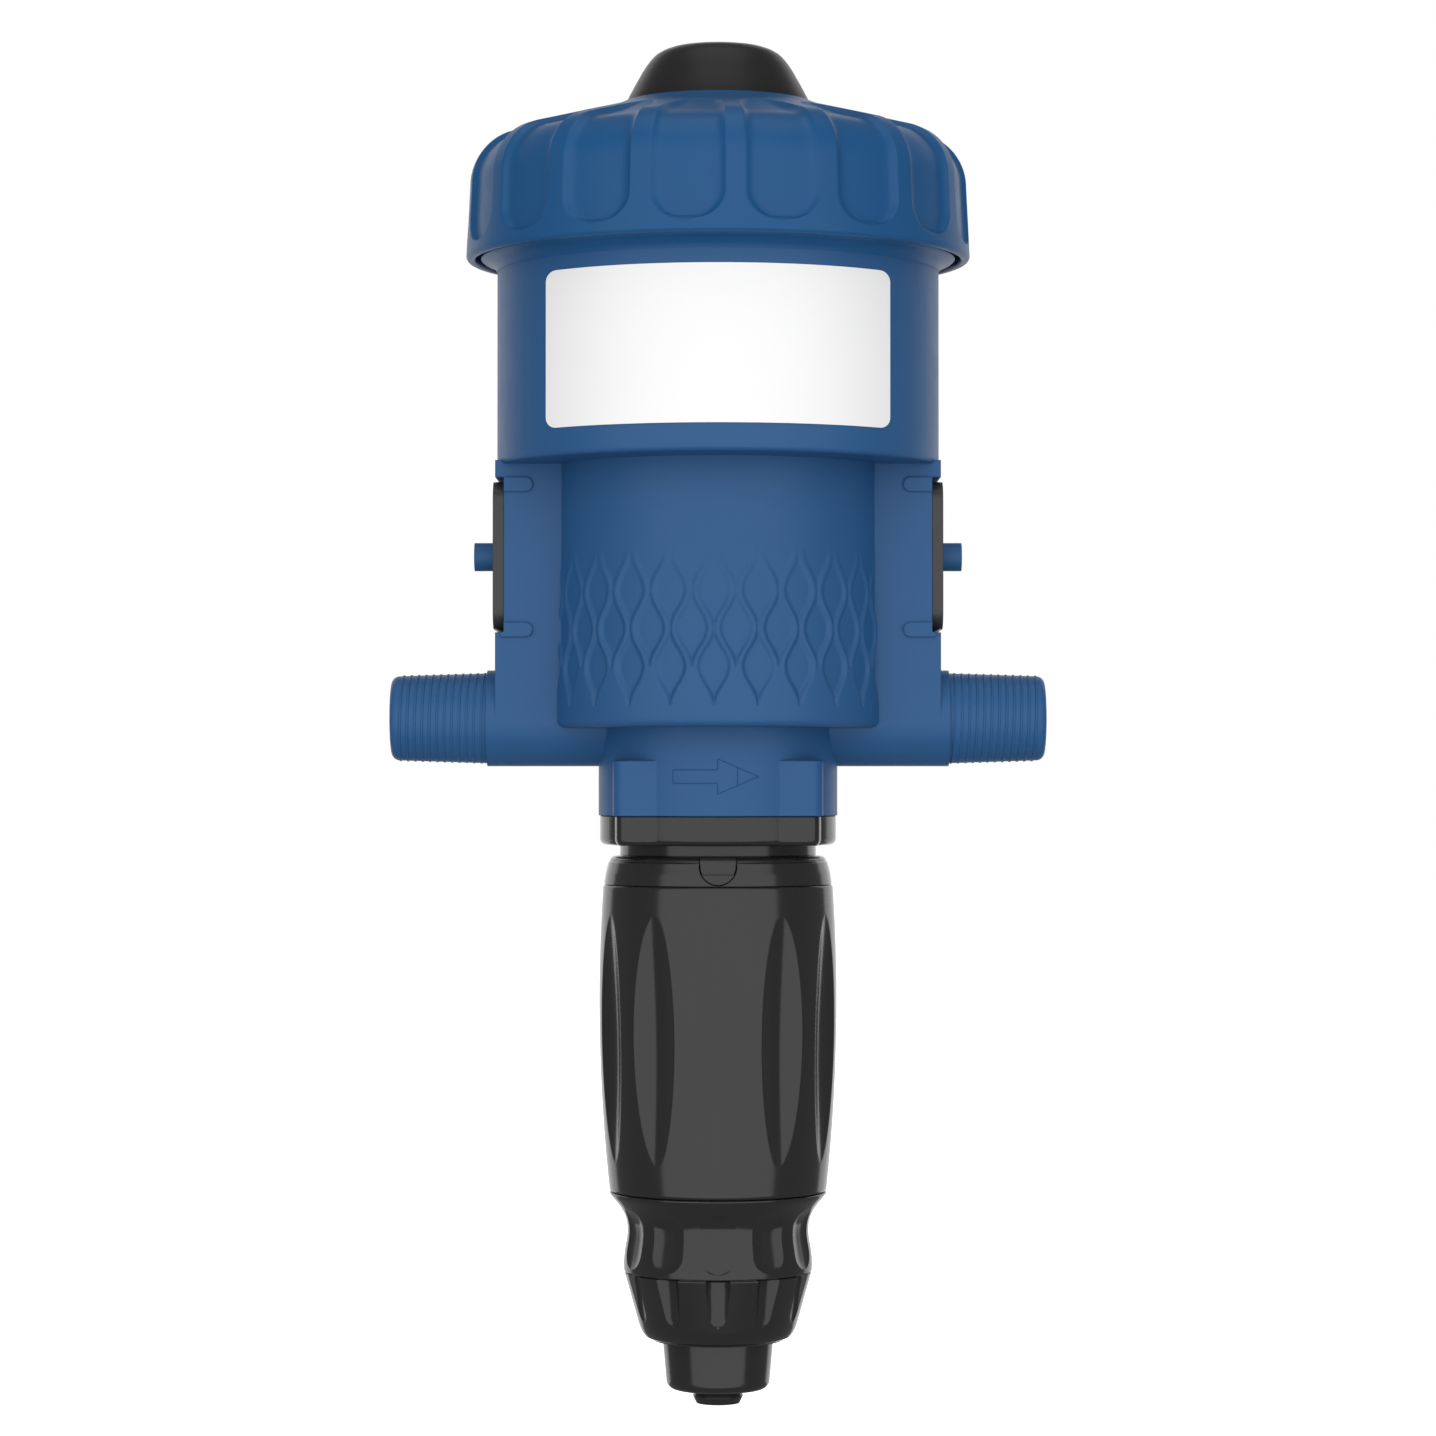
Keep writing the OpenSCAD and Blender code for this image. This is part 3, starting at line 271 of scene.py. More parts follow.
def turned(name, outline, columns, step, cut=None, fine=None, level=True):
    """Blank turned round the pump axis from a closed outline of (radius, height), as on a lathe. Only
    the first fine lines of the outline, the ones in sight, are divided into steps.
    Its points carry their turn, radius, height and outward direction, which is kept level or follows the
    outline, and what cut(radius, height) gives: how far a cut opens there, from 0 to 1, and its depth."""
    rows = []
    for k, ((r0, z0), (r1, z1)) in enumerate(zip(outline, outline[1:] + outline[:1])):
        near = fine is None or k < fine
        parts = max(1, math.ceil(math.hypot(r1 - r0, z1 - z0) / step)) if near else 1
        rows += [(r0 + (r1 - r0) * i / parts, z0 + (z1 - z0) * i / parts) for i in range(parts)]
    line = np.array(rows)
    along = np.roll(line, -1, 0) - np.roll(line, 1, 0)
    along /= np.linalg.norm(along, axis=1)[:, None] + 1e-12
    x, z = line[:, 0], line[:, 1]
    turning = np.sum(x * np.roll(z, -1) - np.roll(x, -1) * z)
    outward = np.stack([along[:, 1], -along[:, 0]], 1) * (1 if turning > 0 else -1)
    if level:
        outward[:] = (1, 0)
    cuts = np.array([cut(r, h) if cut else (0, 0) for r, h in rows], float)
    turn = np.tile(np.arange(columns) / columns, len(rows))
    angle = 2 * math.pi * turn
    radius, height = np.repeat(x, columns), np.repeat(z, columns)
    points = np.stack([radius * np.sin(angle), -radius * np.cos(angle), height], 1)
    grid = np.arange(len(rows) * columns).reshape(len(rows), columns)
    right, up = np.roll(grid, -1, 1), np.roll(grid, -1, 0)
    faces = np.stack([grid, right, np.roll(right, -1, 0), up], 2).reshape(-1, 4)
    mesh = bpy.data.meshes.new(name)
    mesh.from_pydata(points.tolist(), [], faces.tolist())
    for label, values in (("turn", turn), ("radius", radius), ("height", height),
                          ("out_r", np.repeat(outward[:, 0], columns)),
                          ("out_z", np.repeat(outward[:, 1], columns)),
                          ("opening", np.repeat(cuts[:, 0], columns)),
                          ("depth", np.repeat(cuts[:, 1], columns))):
        mesh.attributes.new(label, "FLOAT", "POINT").data.foreach_set("value", values.astype(np.float32))
    return blank(name, mesh)


def grown(piece, tree, sizes, finish, crease=28.0):
    """Runs a tree on a blank, keeps the result as the piece's plain mesh and shades it."""
    modifier = piece.modifiers.new(tree.name, "NODES")
    modifier.node_group = tree
    values = {**sizes, "Finish": finish}
    for socket in tree.interface.items_tree:
        if socket.item_type == "SOCKET" and socket.in_out == "INPUT" and socket.name in values:
            modifier[socket.identifier] = values[socket.name]
    depsgraph = bpy.context.evaluated_depsgraph_get()
    piece.data = bpy.data.meshes.new_from_object(piece.evaluated_get(depsgraph), depsgraph=depsgraph)
    piece.modifiers.clear()
    for spent in [a.name for a in piece.data.attributes if a.name in
                  ("turn", "radius", "height", "out_r", "out_z", "opening", "depth")]:
        piece.data.attributes.remove(piece.data.attributes[spent])
    return shaded(piece, crease)


def bow(centre_r, centre_z, reach, start, end, parts=10):
    """Arc of an outline: points round a centre from one angle to another, in degrees."""
    turns = [math.radians(start + (end - start) * i / parts) for i in range(parts + 1)]
    return [(centre_r + reach * math.cos(t), centre_z + reach * math.sin(t)) for t in turns]


scales, inputs = node_tree("scales", "Count", "Row Height", "First Row", "Start Turn")
column = sums(scales, "MULTIPLY", sums(scales, "SUBTRACT", number(scales, "turn"), inputs["Start Turn"]),
              inputs["Count"])
row = sums(scales, "DIVIDE", sums(scales, "SUBTRACT", number(scales, "height"), inputs["First Row"]),
           inputs["Row Height"])
hollow = None
for shift in (0.0, 0.5):
    across = sums(scales, "ADD", column, shift)
    across = sums(scales, "SUBTRACT", across, sums(scales, "ROUND", across))
    rise = sums(scales, "ADD", row, shift)
    index = sums(scales, "ROUND", rise)
    rise = sums(scales, "SUBTRACT", rise, index)
    swell = sums(scales, "COSINE", sums(scales, "MULTIPLY", rise, 2 * math.pi))
    half = sums(scales, "ADD", sums(scales, "MULTIPLY", swell, 0.170), 0.215)
    room_left = sums(scales, "SUBTRACT", half, sums(scales, "ABSOLUTE", across))
    scoop = sums(scales, "SMOOTH_MIN", sums(scales, "MULTIPLY", room_left, 12.0), 1.0, 0.35)
    scoop = sums(scales, "MAXIMUM", scoop, 0.0)
    whole = sums(scales, "GREATER_THAN", index, 2 * shift - 0.5)
    scoop = sums(scales, "MULTIPLY", scoop, whole)
    hollow = scoop if hollow is None else sums(scales, "MAXIMUM", hollow, scoop)
sunk = sums(scales, "MULTIPLY", hollow, number(scales, "depth"))
radius = sums(scales, "SUBTRACT", number(scales, "radius"), sunk)
angle = sums(scales, "MULTIPLY", number(scales, "turn"), 2 * math.pi)
close_tree(scales, polar(scales, inputs["Blank"], radius, angle, number(scales, "height")), inputs["Finish"])

wall_r, foot_z, fade_z, flare = 0.04704, 0.2007, 0.2462, 0.0012


def scale_depth(r, z):
    """Depth of the scales: they grow out of the plain wall above and stop at the rim below."""
    if r < wall_r or z < foot_z:
        return 0, 0
    return 0, max(0.0, r - wall_r) * min(1.0, (z - foot_z) / 0.0004)


rim_low, rim_round, band_top, band_back = 0.1951, 0.0023, fade_z + 0.003, wall_r - 0.0004
shares_down = [(fade_z - z) / (fade_z - foot_z) for z in np.linspace(foot_z, fade_z, 16)]
band_skin = [(wall_r + flare, foot_z - 0.0001)] + [
    (wall_r + flare * 1.06 * s ** 1.5 / (s + 0.06), fade_z - s * (fade_z - foot_z)) for s in shares_down]
band_rest = [(wall_r - 0.00008, band_top), (band_back, band_top), (band_back, rim_low + 0.0006),
             (0.0440, rim_low), (0.0459, rim_low)]
rim_curve = bow(wall_r + flare - rim_round, rim_low + rim_round, rim_round, -90, 0, 6)
band = turned("scale_band", band_skin + band_rest + rim_curve, 960, 0.0007, scale_depth, 16)
grown(band, scales, {"Count": 24.0, "Row Height": 0.0214, "First Row": 0.2120, "Start Turn": -1.36 / 360},
      blue_nylon, 40.0)
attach(band, "housing")

# Port threads: shallow helical crests of the 3/4 inch taper threads, moulded in one with the tubes.
# A round ridge is swept along a spiral, half sunk in the tube.


def swept(tree, curve, radius):
    """Sweeps a round ridge of a radius along a curve and closes its ends."""
    ridge = tree.nodes.new("GeometryNodeCurvePrimitiveCircle")
    ridge.inputs["Resolution"].default_value = 8
    tree.links.new(radius, ridge.inputs["Radius"])
    sweep = tree.nodes.new("GeometryNodeCurveToMesh")
    sweep.inputs["Fill Caps"].default_value = True
    tree.links.new(curve, sweep.inputs["Curve"])
    tree.links.new(ridge.outputs["Curve"], sweep.inputs["Profile Curve"])
    return sweep.outputs["Mesh"]


thread, inputs = node_tree("taper_thread", "Turns", "Start Radius", "End Radius", "Length", "Ridge Radius")
spiral = thread.nodes.new("GeometryNodeCurveSpiral")
spiral.inputs["Resolution"].default_value = 72
for socket, size in (("Rotations", "Turns"), ("Start Radius", "Start Radius"), ("End Radius", "End Radius"),
                     ("Height", "Length")):
    thread.links.new(inputs[size], spiral.inputs[socket])
close_tree(thread, swept(thread, spiral.outputs["Curve"], inputs["Ridge Radius"]), inputs["Finish"])

thread_x, port_z = 0.0675, 0.198
for side, name in ((1, "outlet_crests"), (-1, "inlet_crests")):
    crests = blank(name)
    grown(crests, thread, {"Turns": 11.5, "Start Radius": 0.01278, "End Radius": 0.01206, "Length": 0.0245,
                           "Ridge Radius": 0.00045}, blue_nylon, 60.0)
    crests.data.transform(Matrix.Translation((side * thread_x, 0, port_z))
                          @ Matrix.Rotation(side * math.pi / 2, 4, "Y"))
    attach(crests, "housing")

# Flow arrow: a thin line on the neck's front in the shape of an arrow. Its darker blue is painted shade,
# standing in for the shade in an engraved groove. A fine half-round ridge follows the outline,
# which is bent round the neck.
line, inputs = node_tree("painted_shade_line", "Ridge Radius")
path = line.nodes.new("GeometryNodeMeshToCurve")
line.links.new(inputs["Blank"], path.inputs["Mesh"])
close_tree(line, swept(line, path.outputs["Curve"], inputs["Ridge Radius"]), inputs["Finish"])

neck_r, arrow_z = 0.0346, 0.1811
outline = [(-0.0127, 0.0019), (-0.0001, 0.0019), (-0.0001, 0.0050), (0.0114, 0.0), (-0.0001, -0.0050),
           (-0.0001, -0.0019), (-0.0127, -0.0019)]
strokes = list(zip(outline, outline[1:] + outline[:1])) + [((0.0055, 0.00255), (0.0055, -0.00255))]
points, edges = [], []
for (x0, h0), (x1, h1) in strokes:
    first = len(points)
    for i in range(13):
        x, h = x0 + (x1 - x0) * i / 12, h0 + (h1 - h0) * i / 12
        points.append((x, -math.sqrt(neck_r ** 2 - x ** 2), arrow_z + h))
    edges += [(first + i, first + i + 1) for i in range(12)]
arrow_mesh = bpy.data.meshes.new("flow_arrow")
arrow_mesh.from_pydata(points, edges, [])
arrow = blank("flow_arrow", arrow_mesh)
# Painted shade: the arrow's ridge is a darker blue than the skin, as the shade in an engraved groove.
arrow_painted_shade = moulded("arrow_painted_shade", (0.015, 0.075, 0.195), (0.012, 0.068, 0.180), 0.5, edge=0.0, sheen=0.2)
grown(arrow, line, {"Ridge Radius": 0.00014}, arrow_painted_shade, 60.0)
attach(arrow, "housing")

# Cover: a blue moulded cap that screws down over the drum, with finger pockets all round that
# follow its side and shoulder and fade out on the dome.
flutes, inputs = node_tree("flutes", "Count", "Start Turn", "Half Angle", "Share", "Wall Power")
place = sums(flutes, "MULTIPLY", sums(flutes, "SUBTRACT", number(flutes, "turn"), inputs["Start Turn"]),
             inputs["Count"])
centre = sums(flutes, "ROUND", place)
local = sums(flutes, "SUBTRACT", place, centre)
size = sums(flutes, "ABSOLUTE", local)
within = sums(flutes, "MINIMUM", sums(flutes, "DIVIDE", size, inputs["Share"]), 1.0)
beyond = sums(flutes, "DIVIDE", sums(flutes, "SUBTRACT", size, inputs["Share"]),
              sums(flutes, "SUBTRACT", 0.5, inputs["Share"]))
beyond = sums(flutes, "MAXIMUM", beyond, 0.0)
half = sums(flutes, "MULTIPLY", number(flutes, "opening"), inputs["Half Angle"])
half_pitch = sums(flutes, "DIVIDE", math.pi, inputs["Count"])
swing = sums(flutes, "ADD", sums(flutes, "MULTIPLY", within, half),
             sums(flutes, "MULTIPLY", beyond, sums(flutes, "SUBTRACT", half_pitch, half)))
swing = sums(flutes, "MULTIPLY", swing, sums(flutes, "SIGN", local))
middle = sums(flutes, "ADD", sums(flutes, "DIVIDE", centre, inputs["Count"]), inputs["Start Turn"])
angle = sums(flutes, "ADD", sums(flutes, "MULTIPLY", middle, 2 * math.pi), swing)
wall = sums(flutes, "SUBTRACT", 1.0, sums(flutes, "POWER", within, inputs["Wall Power"]))
sunk = sums(flutes, "MULTIPLY", wall, number(flutes, "depth"))
sunk_r = sums(flutes, "MULTIPLY", sunk, number(flutes, "out_r"))
sunk_z = sums(flutes, "MULTIPLY", sunk, number(flutes, "out_z"))
radius = sums(flutes, "SUBTRACT", number(flutes, "radius"), sunk_r)
height = sums(flutes, "SUBTRACT", number(flutes, "height"), sunk_z)
close_tree(flutes, polar(flutes, inputs["Blank"], radius, angle, height), inputs["Finish"])


blue_cover = moulded("blue_cover", (0.008, 0.081, 0.222), (0.006, 0.073, 0.205), 0.42, edge=0.0, sheen=0.25)
cover_r, cover_low, shoulder_z, shoulder_r, dome_slope = 0.073, 0.3303, 0.3517, 0.016, math.radians(14.57)
shoulder_in = cover_r - 0.001 - shoulder_r
dome_foot_r = shoulder_in + shoulder_r * math.sin(dome_slope)
dome_foot_z = shoulder_z + shoulder_r * math.cos(dome_slope)


def dome_z(r):
    """Height of the dome at a radius."""
    return dome_foot_z + (dome_foot_r - r) * math.tan(dome_slope)


def pocket(r, z):
    """Opening and depth of the finger pockets where the cover's outer line is at (r, z)."""
    foot, foot_round, top_r, top_fade, deepest = cover_low + 0.0035, 0.0082, 0.0420, 0.0150, 0.0017
    if z < foot or r < top_r:
        return 0.0, 0.0
    low = max(0.0, 1 - (z - foot) / foot_round)
    high = max(0.0, 1 - (r - top_r) / top_fade)
    opening = math.sqrt(1 - low ** 2) * math.sqrt(1 - high ** 2)
    return opening, deepest * min(1.0, (z - foot) / 0.0010) * (1 - high ** 2)


groove_in, groove_out, groove_top, groove_low, hub_r = 0.0687, 0.0704, 0.3345, 0.3309, 0.0276
cover_skin = (
    [(groove_out, groove_top), (groove_out, groove_low), (0.0707, 0.3304), (0.0711, cover_low)]
    + bow(cover_r - 0.0014, cover_low + 0.0014, 0.0014, -90, 0, 6)
    + [(cover_r - 0.0001, cover_low + 0.0034)] + bow(shoulder_in, shoulder_z, shoulder_r, 0, 75.43, 30)
    + [(0.0340, dome_z(0.0340)), (0.0310, dome_z(0.0310) + 0.0002), (0.0292, dome_z(0.0292) + 0.0005),
       (0.0281, dome_z(0.0281) + 0.0007), (hub_r, dome_z(hub_r) + 0.0002)])
cover_inside = [
    (hub_r, 0.36917), (0.0041, 0.36917), (0.0041, 0.36457), (0.014, 0.36457), (0.014, 0.357),
    (0.0175, 0.357), (0.0175, 0.36457), (0.030, 0.36457), (0.048, 0.36307), (0.055, 0.36007),
    (0.058, 0.35507), (0.058, 0.3478), (0.0642, 0.3478), (0.0641, 0.3270), (0.0643, 0.3278),
    (0.0648, 0.3286), (0.0657, 0.3294), (0.0668, 0.3300), (0.0681, 0.3304), (groove_in, groove_low),
    (groove_in, groove_top)]
cover = turned("finger_cover", cover_skin + cover_inside, 17 * 36, 0.0007, pocket, len(cover_skin), False)
grown(cover, flutes, {"Count": 17.0, "Start Turn": -6.7 / 360, "Half Angle": math.radians(8.2),
                      "Share": 0.3334, "Wall Power": 10.0}, blue_cover, 44.0)
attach(cover, "housing")
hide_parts("top_cover")

# Vent button: a satin black moulded cap on the cover's top, with a flared foot and a round crown.
# It snaps onto the vent stem and is pressed down to let air out of the drum.
satin_black = moulded("satin_black", (0.019, 0.019, 0.020), (0.015, 0.015, 0.016), 0.36, edge=0.0, sheen=0.2)
button_line = [(0.0272, 0.37257), (0.0272, 0.3754), (0.0269, 0.3760), (0.0260, 0.3781), (0.0250, 0.3800),
               (0.0241, 0.3817), (0.0231, 0.38345), (0.0221, 0.38525), (0.0210, 0.3870), (0.0197, 0.38875),
               (0.0188, 0.38975), (0.0179, 0.39055), (0.0162, 0.39155), (0.0141, 0.3923), (0.0108, 0.3928),
               (0.0060, 0.39305), (0.0, 0.39317),
               (0.0, 0.39057), (0.00295, 0.39057), (0.00295, 0.38457), (0.006, 0.38457), (0.006, 0.39057),
               (0.0173, 0.38817), (0.0197, 0.38517), (0.0246, 0.37537), (0.0246, 0.37257)]
button = turned("vent_cap", button_line, 144, 0.0008, None, 16)
button.data.materials.append(satin_black)
shaded(button, 34.0)
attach(button, "vent_valve")
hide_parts("vent_button")

# Label: a blank white plastic film with round corners, cut to size and stuck round the front of the
# drum. Its solid is the CAD node.
label_film = moulded("label_film", (0.87, 0.87, 0.87), (0.85, 0.85, 0.855), 0.45, grain=0.0006, edge=0.0)
paint(label_film, "label_plate")

# Wall bracket: a black moulded plate with two arms that hook round the body's lug pins. The plate is
# screwed to the wall, and the pump hangs in the arms. Its solid is the CAD node.
bracket_black = moulded("bracket_black", (0.030, 0.030, 0.031), (0.026, 0.026, 0.027), 0.34, edge=0.0005)
paint(bracket_black, "wall_bracket")

# Dosing stem, lock ring, its tongue and the hose nipple: gloss black mouldings, all of them CAD nodes.
# The stem hangs from the neck and carries the knob, and the ring turns on it to lock the knob.
gloss_black = moulded("gloss_black", (0.017, 0.017, 0.018), (0.015, 0.015, 0.016), 0.16, grain=0.0012,
                      rise=0.000004, edge=0.0004)
paint(gloss_black, "dosing_stem", "lock_ring", "lock_tab", "hose_nipple")

# Tongue gap: painted shade of the narrow gap round the lock ring's tongue, where the two mouldings meet.
# A thin matt black line follows the tongue's sides and round foot on the ring's skin.
tongue_side, tongue_foot, tongue_top, ring_foot = 0.00523, 0.15038, 0.1579, 0.1498
ring_rise, ring_reach = (0.0, 0.0035, 0.0066, 0.0081), (0.0331, 0.0325, 0.0317, 0.0306)
turns = [math.pi * i / 24 for i in range(25)]
foot_line = [(-tongue_side * math.cos(t), tongue_foot + tongue_side * (1 - math.sin(t))) for t in turns]
points = []
for x, z in [(-tongue_side, tongue_top), *foot_line, (tongue_side, tongue_top)]:
    reach = float(np.interp(z - ring_foot, ring_rise, ring_reach)) - 0.0001
    points.append((x, -math.sqrt(reach ** 2 - x ** 2), z))
gap_mesh = bpy.data.meshes.new("tongue_gap")
gap_mesh.from_pydata(points, [(i, i + 1) for i in range(len(points) - 1)], [])
gap = blank("tongue_gap", gap_mesh)
# Painted shade: a near-black matt line stands in for the shade inside the gap.
gap_painted_shade = moulded("gap_painted_shade", (0.004, 0.004, 0.004), (0.003, 0.003, 0.003), 0.8, edge=0.0, sheen=0.0)
grown(gap, line, {"Ridge Radius": 0.00026}, gap_painted_shade, 60.0)
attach(gap, "lock")

# Stem collar: a gloss black moulded flange between neck and stem, drawn out to the neck's corners.
# Four socket-head screws from below hold it to the neck, each in a counterbored hole.
squared, inputs = node_tree("squared", "Half Side")
angle = sums(squared, "MULTIPLY", number(squared, "turn"), 2 * math.pi)
side_power = sums(squared, "POWER", sums(squared, "ABSOLUTE", sums(squared, "SINE", angle)), 16.0)
front_power = sums(squared, "POWER", sums(squared, "ABSOLUTE", sums(squared, "COSINE", angle)), 16.0)
square_r = sums(squared, "DIVIDE", inputs["Half Side"],
                sums(squared, "POWER", sums(squared, "ADD", side_power, front_power), 1 / 16))
square_r = sums(squared, "SUBTRACT", square_r, number(squared, "depth"))
widest = sums(squared, "MAXIMUM", number(squared, "radius"), square_r)
beyond = sums(squared, "SUBTRACT", widest, number(squared, "radius"))
corner = sums(squared, "MULTIPLY", beyond, number(squared, "opening"))
radius = sums(squared, "ADD", number(squared, "radius"), corner)
close_tree(squared, polar(squared, inputs["Blank"], radius, angle, number(squared, "height")),
           inputs["Finish"])

collar_r, collar_low, collar_high, collar_round = 0.0342, 0.1614, 0.1699, 0.0019
neck_fit_r, stem_fit_r, stem_seat = 0.0316, 0.0286, 0.1659


def collar_corner(r, z):
    """How far the collar's line is drawn out to the corners, and how far it stays back from its side."""
    outer = r > 0.0322 or z == collar_low and r > 0.03
    return (1.0, collar_r - r) if outer else (0.0, 0.0)


collar_line = (bow(collar_r - collar_round, collar_low + collar_round, collar_round, -90, 0, 6)
               + [(collar_r, collar_high - 0.0003), (collar_r - 0.0003, collar_high),
                  (neck_fit_r, collar_high), (neck_fit_r, stem_seat), (stem_fit_r, stem_seat),
                  (stem_fit_r, collar_low)])
collar = turned("collar_skin", collar_line, 360, 0.002, collar_corner, 7)
grown(collar, squared, {"Half Side": 0.0293}, gloss_black, 30.0)
holes = bpy.data.meshes.new("screw_holes")
drill = bmesh.new()
screw_at = 0.0246
for x, y in ((-1, -1), (-1, 1), (1, -1), (1, 1)):
    for reach, low, high in ((0.0038, 0.16, 0.1654), (0.0021, 0.165, 0.171)):
        screw_place = Matrix.Translation((x * screw_at, y * screw_at, (low + high) / 2))
        bmesh.ops.create_cone(drill, cap_ends=True, segments=48, radius1=reach, radius2=reach,
                              depth=high - low, matrix=screw_place)
drill.to_mesh(holes)
drill.free()
cutter = blank("screw_holes", holes)
bore = collar.modifiers.new("screw_holes", "BOOLEAN")
bore.object = cutter
bore.operation = "DIFFERENCE"
bore.use_self = True
depsgraph = bpy.context.evaluated_depsgraph_get()
collar.data = bpy.data.meshes.new_from_object(collar.evaluated_get(depsgraph), depsgraph=depsgraph)
collar.modifiers.clear()
bpy.data.objects.remove(cutter)
shaded(collar, 30.0)
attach(collar, "housing")
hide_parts("stem_collar")

# Ratio knob: a gloss black moulded sleeve with eleven long, pointed flutes for the fingers.
# It's turned on the stem by hand and sets how much concentrate each stroke draws in.
sleeve_black = moulded("sleeve_black", (0.017, 0.017, 0.018), (0.015, 0.015, 0.016), 0.16, grain=0.0012,
                       rise=0.000004, edge=0.0)
knob_low, knob_high, knob_mid, knob_r, knob_bulge = 0.0613, 0.1498, 0.1163, 0.0344, 1.0
knob_bore, pin_groove_r, pin_low, pin_high = 0.0262, 0.0289, 0.0927, 0.1255


def knob_line(z):
    """Outer radius of the knob at a height: its side bulges a little."""
    return knob_r - knob_bulge * (z - knob_mid) ** 2


def knob_flute(r, z):
    """Opening and depth of the knob's flutes."""
    middle, half_length, deepest = 0.1060, 0.0355, 0.0026
    along = (z - middle) / half_length
    if r < 0.0305 or abs(along) >= 1:
        return 0.0, 0.0
    return (1 - along ** 2) ** 0.6, deepest * (1 - along ** 2) ** 1.25


knob_outline = (
    [(knob_bore, knob_low), (knob_line(knob_low) - 0.0004, knob_low)]
    + [(knob_line(z), z) for z in np.linspace(knob_low + 0.0004, knob_high - 0.0003, 150)]
    + [(knob_line(knob_high) - 0.0003, knob_high), (knob_bore, knob_high), (knob_bore, pin_high),
       (pin_groove_r, pin_high), (pin_groove_r, pin_low), (knob_bore, pin_low)])
knob = turned("ratio_sleeve", knob_outline, 11 * 36, 0.0016, knob_flute, 152)
grown(knob, flutes, {"Count": 11.0, "Start Turn": 0.0, "Half Angle": math.radians(11.3), "Share": 0.3334,
                     "Wall Power": 2.0}, sleeve_black, 50.0)
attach(knob, "knob")
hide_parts("ratio_knob")

# Lower grip: a waisted gloss black moulding with round-topped flutes that end at the knob's foot.
# It closes the dosing stem from below, and the conical nut is screwed onto it.
grip_low, grip_high, grip_top_r = 0.0382, 0.0611, 0.0314
grip_points = [(0.0272, grip_low), (0.0274, 0.0400), (0.0271, 0.0438), (0.0263, 0.0484), (0.0262, 0.0508),
               (0.0265, 0.0531), (0.0274, 0.0554), (0.0290, 0.0577), (0.0307, 0.0597),
               (grip_top_r, 0.0605)]
grip_z = np.linspace(grip_low + 0.0003, 0.0605, 60)
grip_r = np.interp(grip_z, [z for _, z in grip_points], [r for r, _ in grip_points])
grip_r = np.convolve(np.pad(grip_r, 3, mode="edge"), np.ones(7) / 7, "valid")


def grip_flute(r, z):
    """Opening and depth of the lower grip's flutes: closed ovals with round ends."""
    low_end, high_end, end_round, middle, deepest = 0.0447, 0.0524, 0.005, 0.0485, 0.0010
    end = max(0.0, (low_end - z) / end_round, (z - high_end) / end_round)
    if r < 0.0235 or end >= 1:
        return 0.0, 0.0
    return math.sqrt(1 - end ** 2), deepest * (1 - end ** 2) ** (0.8 if z < middle else 1.8)


grip_outline = (
    [(0.020, 0.026), (0.020, grip_low), (grip_r[0] - 0.0003, grip_low)]
    + list(zip(grip_r.tolist(), grip_z.tolist()))
    + [(grip_top_r, 0.0606), (grip_top_r, 0.0609), (0.0312, grip_high), (0.0227, grip_high),
       (0.0227, 0.0541), (0.010, 0.0541), (0.010, 0.0781), (0.007, 0.0781), (0.007, 0.0482),
       (0.0026, 0.0482), (0.0026, 0.0462), (0.012, 0.0462), (0.012, 0.026)])
grip = turned("waist_grip", grip_outline, 11 * 36, 0.0005, grip_flute, 66)
grown(grip, flutes, {"Count": 11.0, "Start Turn": 0.0, "Half Angle": math.radians(11.0), "Share": 0.3334,
                     "Wall Power": 2.6}, sleeve_black, 20.0)
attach(grip, "housing")
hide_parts("lower_grip")

# Conical nut: a gloss black moulding with round-ended slots that are open at the top.
# It's screwed up by hand against the lower grip and holds the suction valve's seat.
nut_outline = [(0.0189, 0.0183), (0.0192, 0.0186), (0.0210, 0.0194), (0.0219, 0.0206), (0.0224, 0.0216),
               (0.0229, 0.0229), (0.0270, 0.0375), (0.0269, 0.0378), (0.0258, 0.0379), (0.0258, 0.0382),
               (0.0201, 0.0382), (0.0201, 0.0252), (0.0171, 0.0252), (0.0171, 0.0220), (0.0111, 0.0220),
               (0.0111, 0.0183)]


def nut_slot(r, z):
    """Opening and depth of the conical nut's slots: their floors stand nearly upright."""
    foot, foot_round, lean = 0.0243, 0.0024, 0.14
    above = z - foot
    if above < 0 or r < 0.0212:
        return 0.0, 0.0
    round_foot = math.sqrt(1 - max(0.0, 1 - above / foot_round) ** 2)
    widening = 0.70 + 0.30 * min(1.0, above / 0.011)
    return round_foot * widening, 0.0004 * min(1.0, above / 0.0005) + lean * above


nut = turned("cone_nut", nut_outline, 11 * 36, 0.0004, nut_slot, 8)
grown(nut, flutes, {"Count": 11.0, "Start Turn": 0.0, "Half Angle": math.radians(7.6), "Share": 0.3334,
                    "Wall Power": 3.0}, sleeve_black, 30.0)
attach(nut, "housing")
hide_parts("valve_nut")

# Hose nut: a plain gloss black ring with a rounded lower edge, under the conical nut.
# It's a moulding that is screwed on by hand to clamp the hose on its nipple.
hose_outline = ([(0.0096, 0.0041)] + bow(0.0124, 0.0067, 0.0026, -90, -8, 8)
                + [(0.0160, 0.0179), (0.0158, 0.0181), (0.011, 0.0181), (0.011, 0.0063)])
hose_nut = turned("hose_collar", hose_outline, 144, 0.0008)
hose_nut.data.materials.append(sleeve_black)
shaded(hose_nut, 34.0)
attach(hose_nut, "housing")
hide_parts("hose_nut")

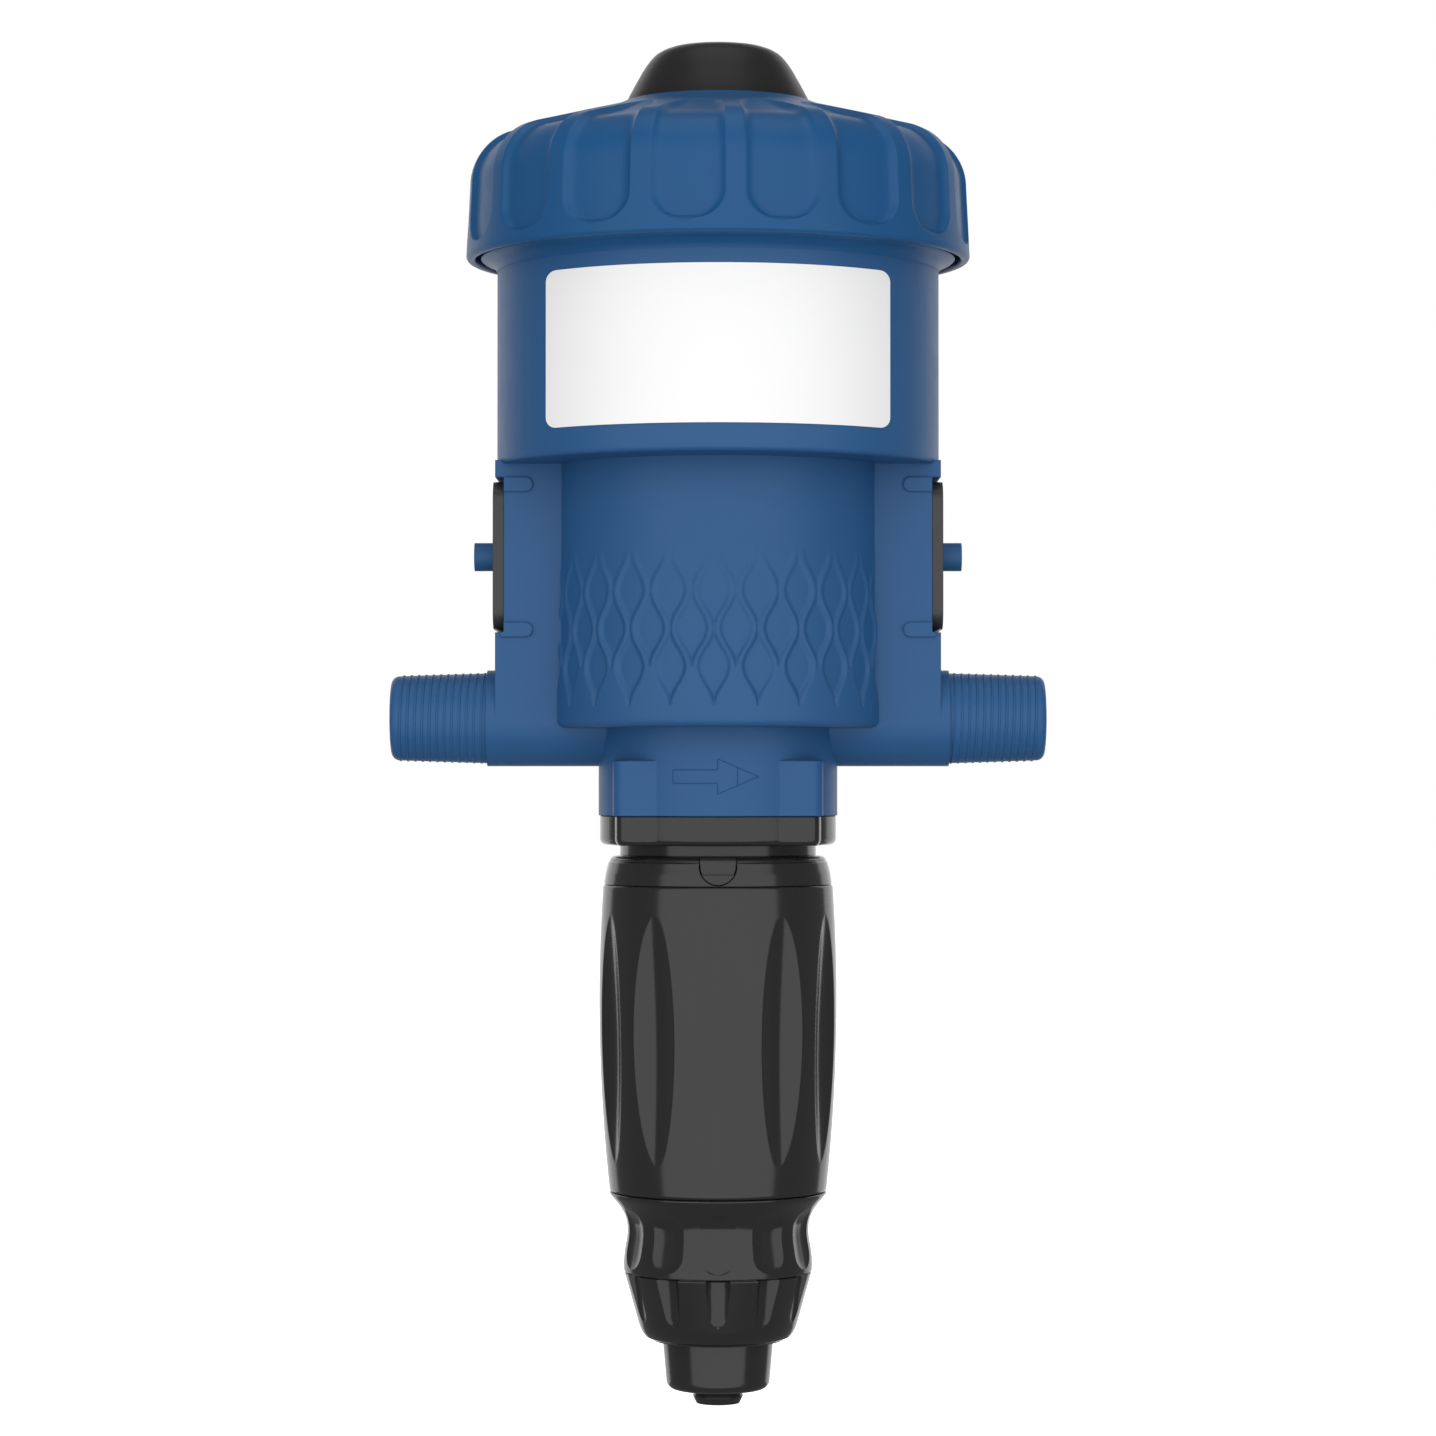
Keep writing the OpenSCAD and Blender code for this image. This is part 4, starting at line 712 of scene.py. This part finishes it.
# Screws, rods and pins: bright steel, cut and turned from bar, all of them CAD nodes. Four socket-head
# screws hold the collar to the neck from below, and the rest sits inside.
bright_steel = moulded("bright_steel", (0.56, 0.56, 0.57), (0.50, 0.50, 0.51), 0.28, grain=0.0004, edge=0.0)
bright_steel.node_tree.nodes["Principled BSDF"].inputs["Metallic"].default_value = 1.0
paint(bright_steel, "collar_screws", "crown_screws", "trip_rod", "trip_legs", "plunger_rod", "rod_nut",
      "drive_pins")

# Springs: coils of bright steel wire with their ends in their seats. The vent and suction springs stay fixed
# in the housing, and the trip spring stretches between the piston and its gear.


def spring(node, wire, turns):
    """Coil of round wire in place of a CAD spring, as long and as wide as it."""
    low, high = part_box(node)
    coil = blank("steel_" + node)
    mean, length = high[0] - wire, high[2] - low[2] - 2 * wire
    grown(coil, thread, {"Turns": turns, "Start Radius": mean, "End Radius": mean, "Length": length,
                         "Ridge Radius": wire}, bright_steel, 60.0)
    coil.data.transform(Matrix.Translation((0, 0, low[2] + wire)))
    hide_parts(node)
    return coil, low[2], high[2]


for node, wire, joint, travel, fixed_top in (("vent_spring", 0.0007, "vent_press", 0.003, False),
                                             ("suction_spring", 0.0006, "suction_lift", 0.0025, True)):
    coil, low, high = spring(node, wire, 6.0)
    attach(coil, "housing")
    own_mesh(coil)
coil, low, high = spring("trip_spring", 0.0007, 4.0)
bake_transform(coil, "motor_piston", "valve_gear", start=(0, 0, low), end=(0, 0, high))

# Seals: soft black rubber rings, lips and valve discs, all of them CAD nodes. They're moulded to size
# and held in their grooves or on their stems by their own stretch.
seal_rubber = moulded("seal_rubber", (0.018, 0.018, 0.018), (0.014, 0.014, 0.014), 0.62, grain=0.0003,
                      rise=0.00004, edge=0.0)
paint(seal_rubber, "cover_seal", "vent_seal", "piston_seal", "skirt_seal", "plunger_seal", "stem_seal",
      "barrel_seal", "seat_gasket", "poppet_seal", "outlet_valve", "inlet_valves")

# Motor and dosing pieces inside: natural and white acetal mouldings, all of them CAD nodes.
# They're screwed or pushed together and run in the drum, the tube and the barrel.
ivory_acetal = moulded("ivory_acetal", (0.70, 0.66, 0.56), (0.66, 0.62, 0.52), 0.38, edge=0.0003)
paint(ivory_acetal, "vent_stem", "piston_crown", "piston_tube", "suction_poppet")
white_acetal = moulded("white_acetal", (0.82, 0.82, 0.80), (0.79, 0.79, 0.77), 0.36, edge=0.0003)
paint(white_acetal, "gear_yoke", "plunger", "rod_guide", "dosing_barrel", "clamp_ring")
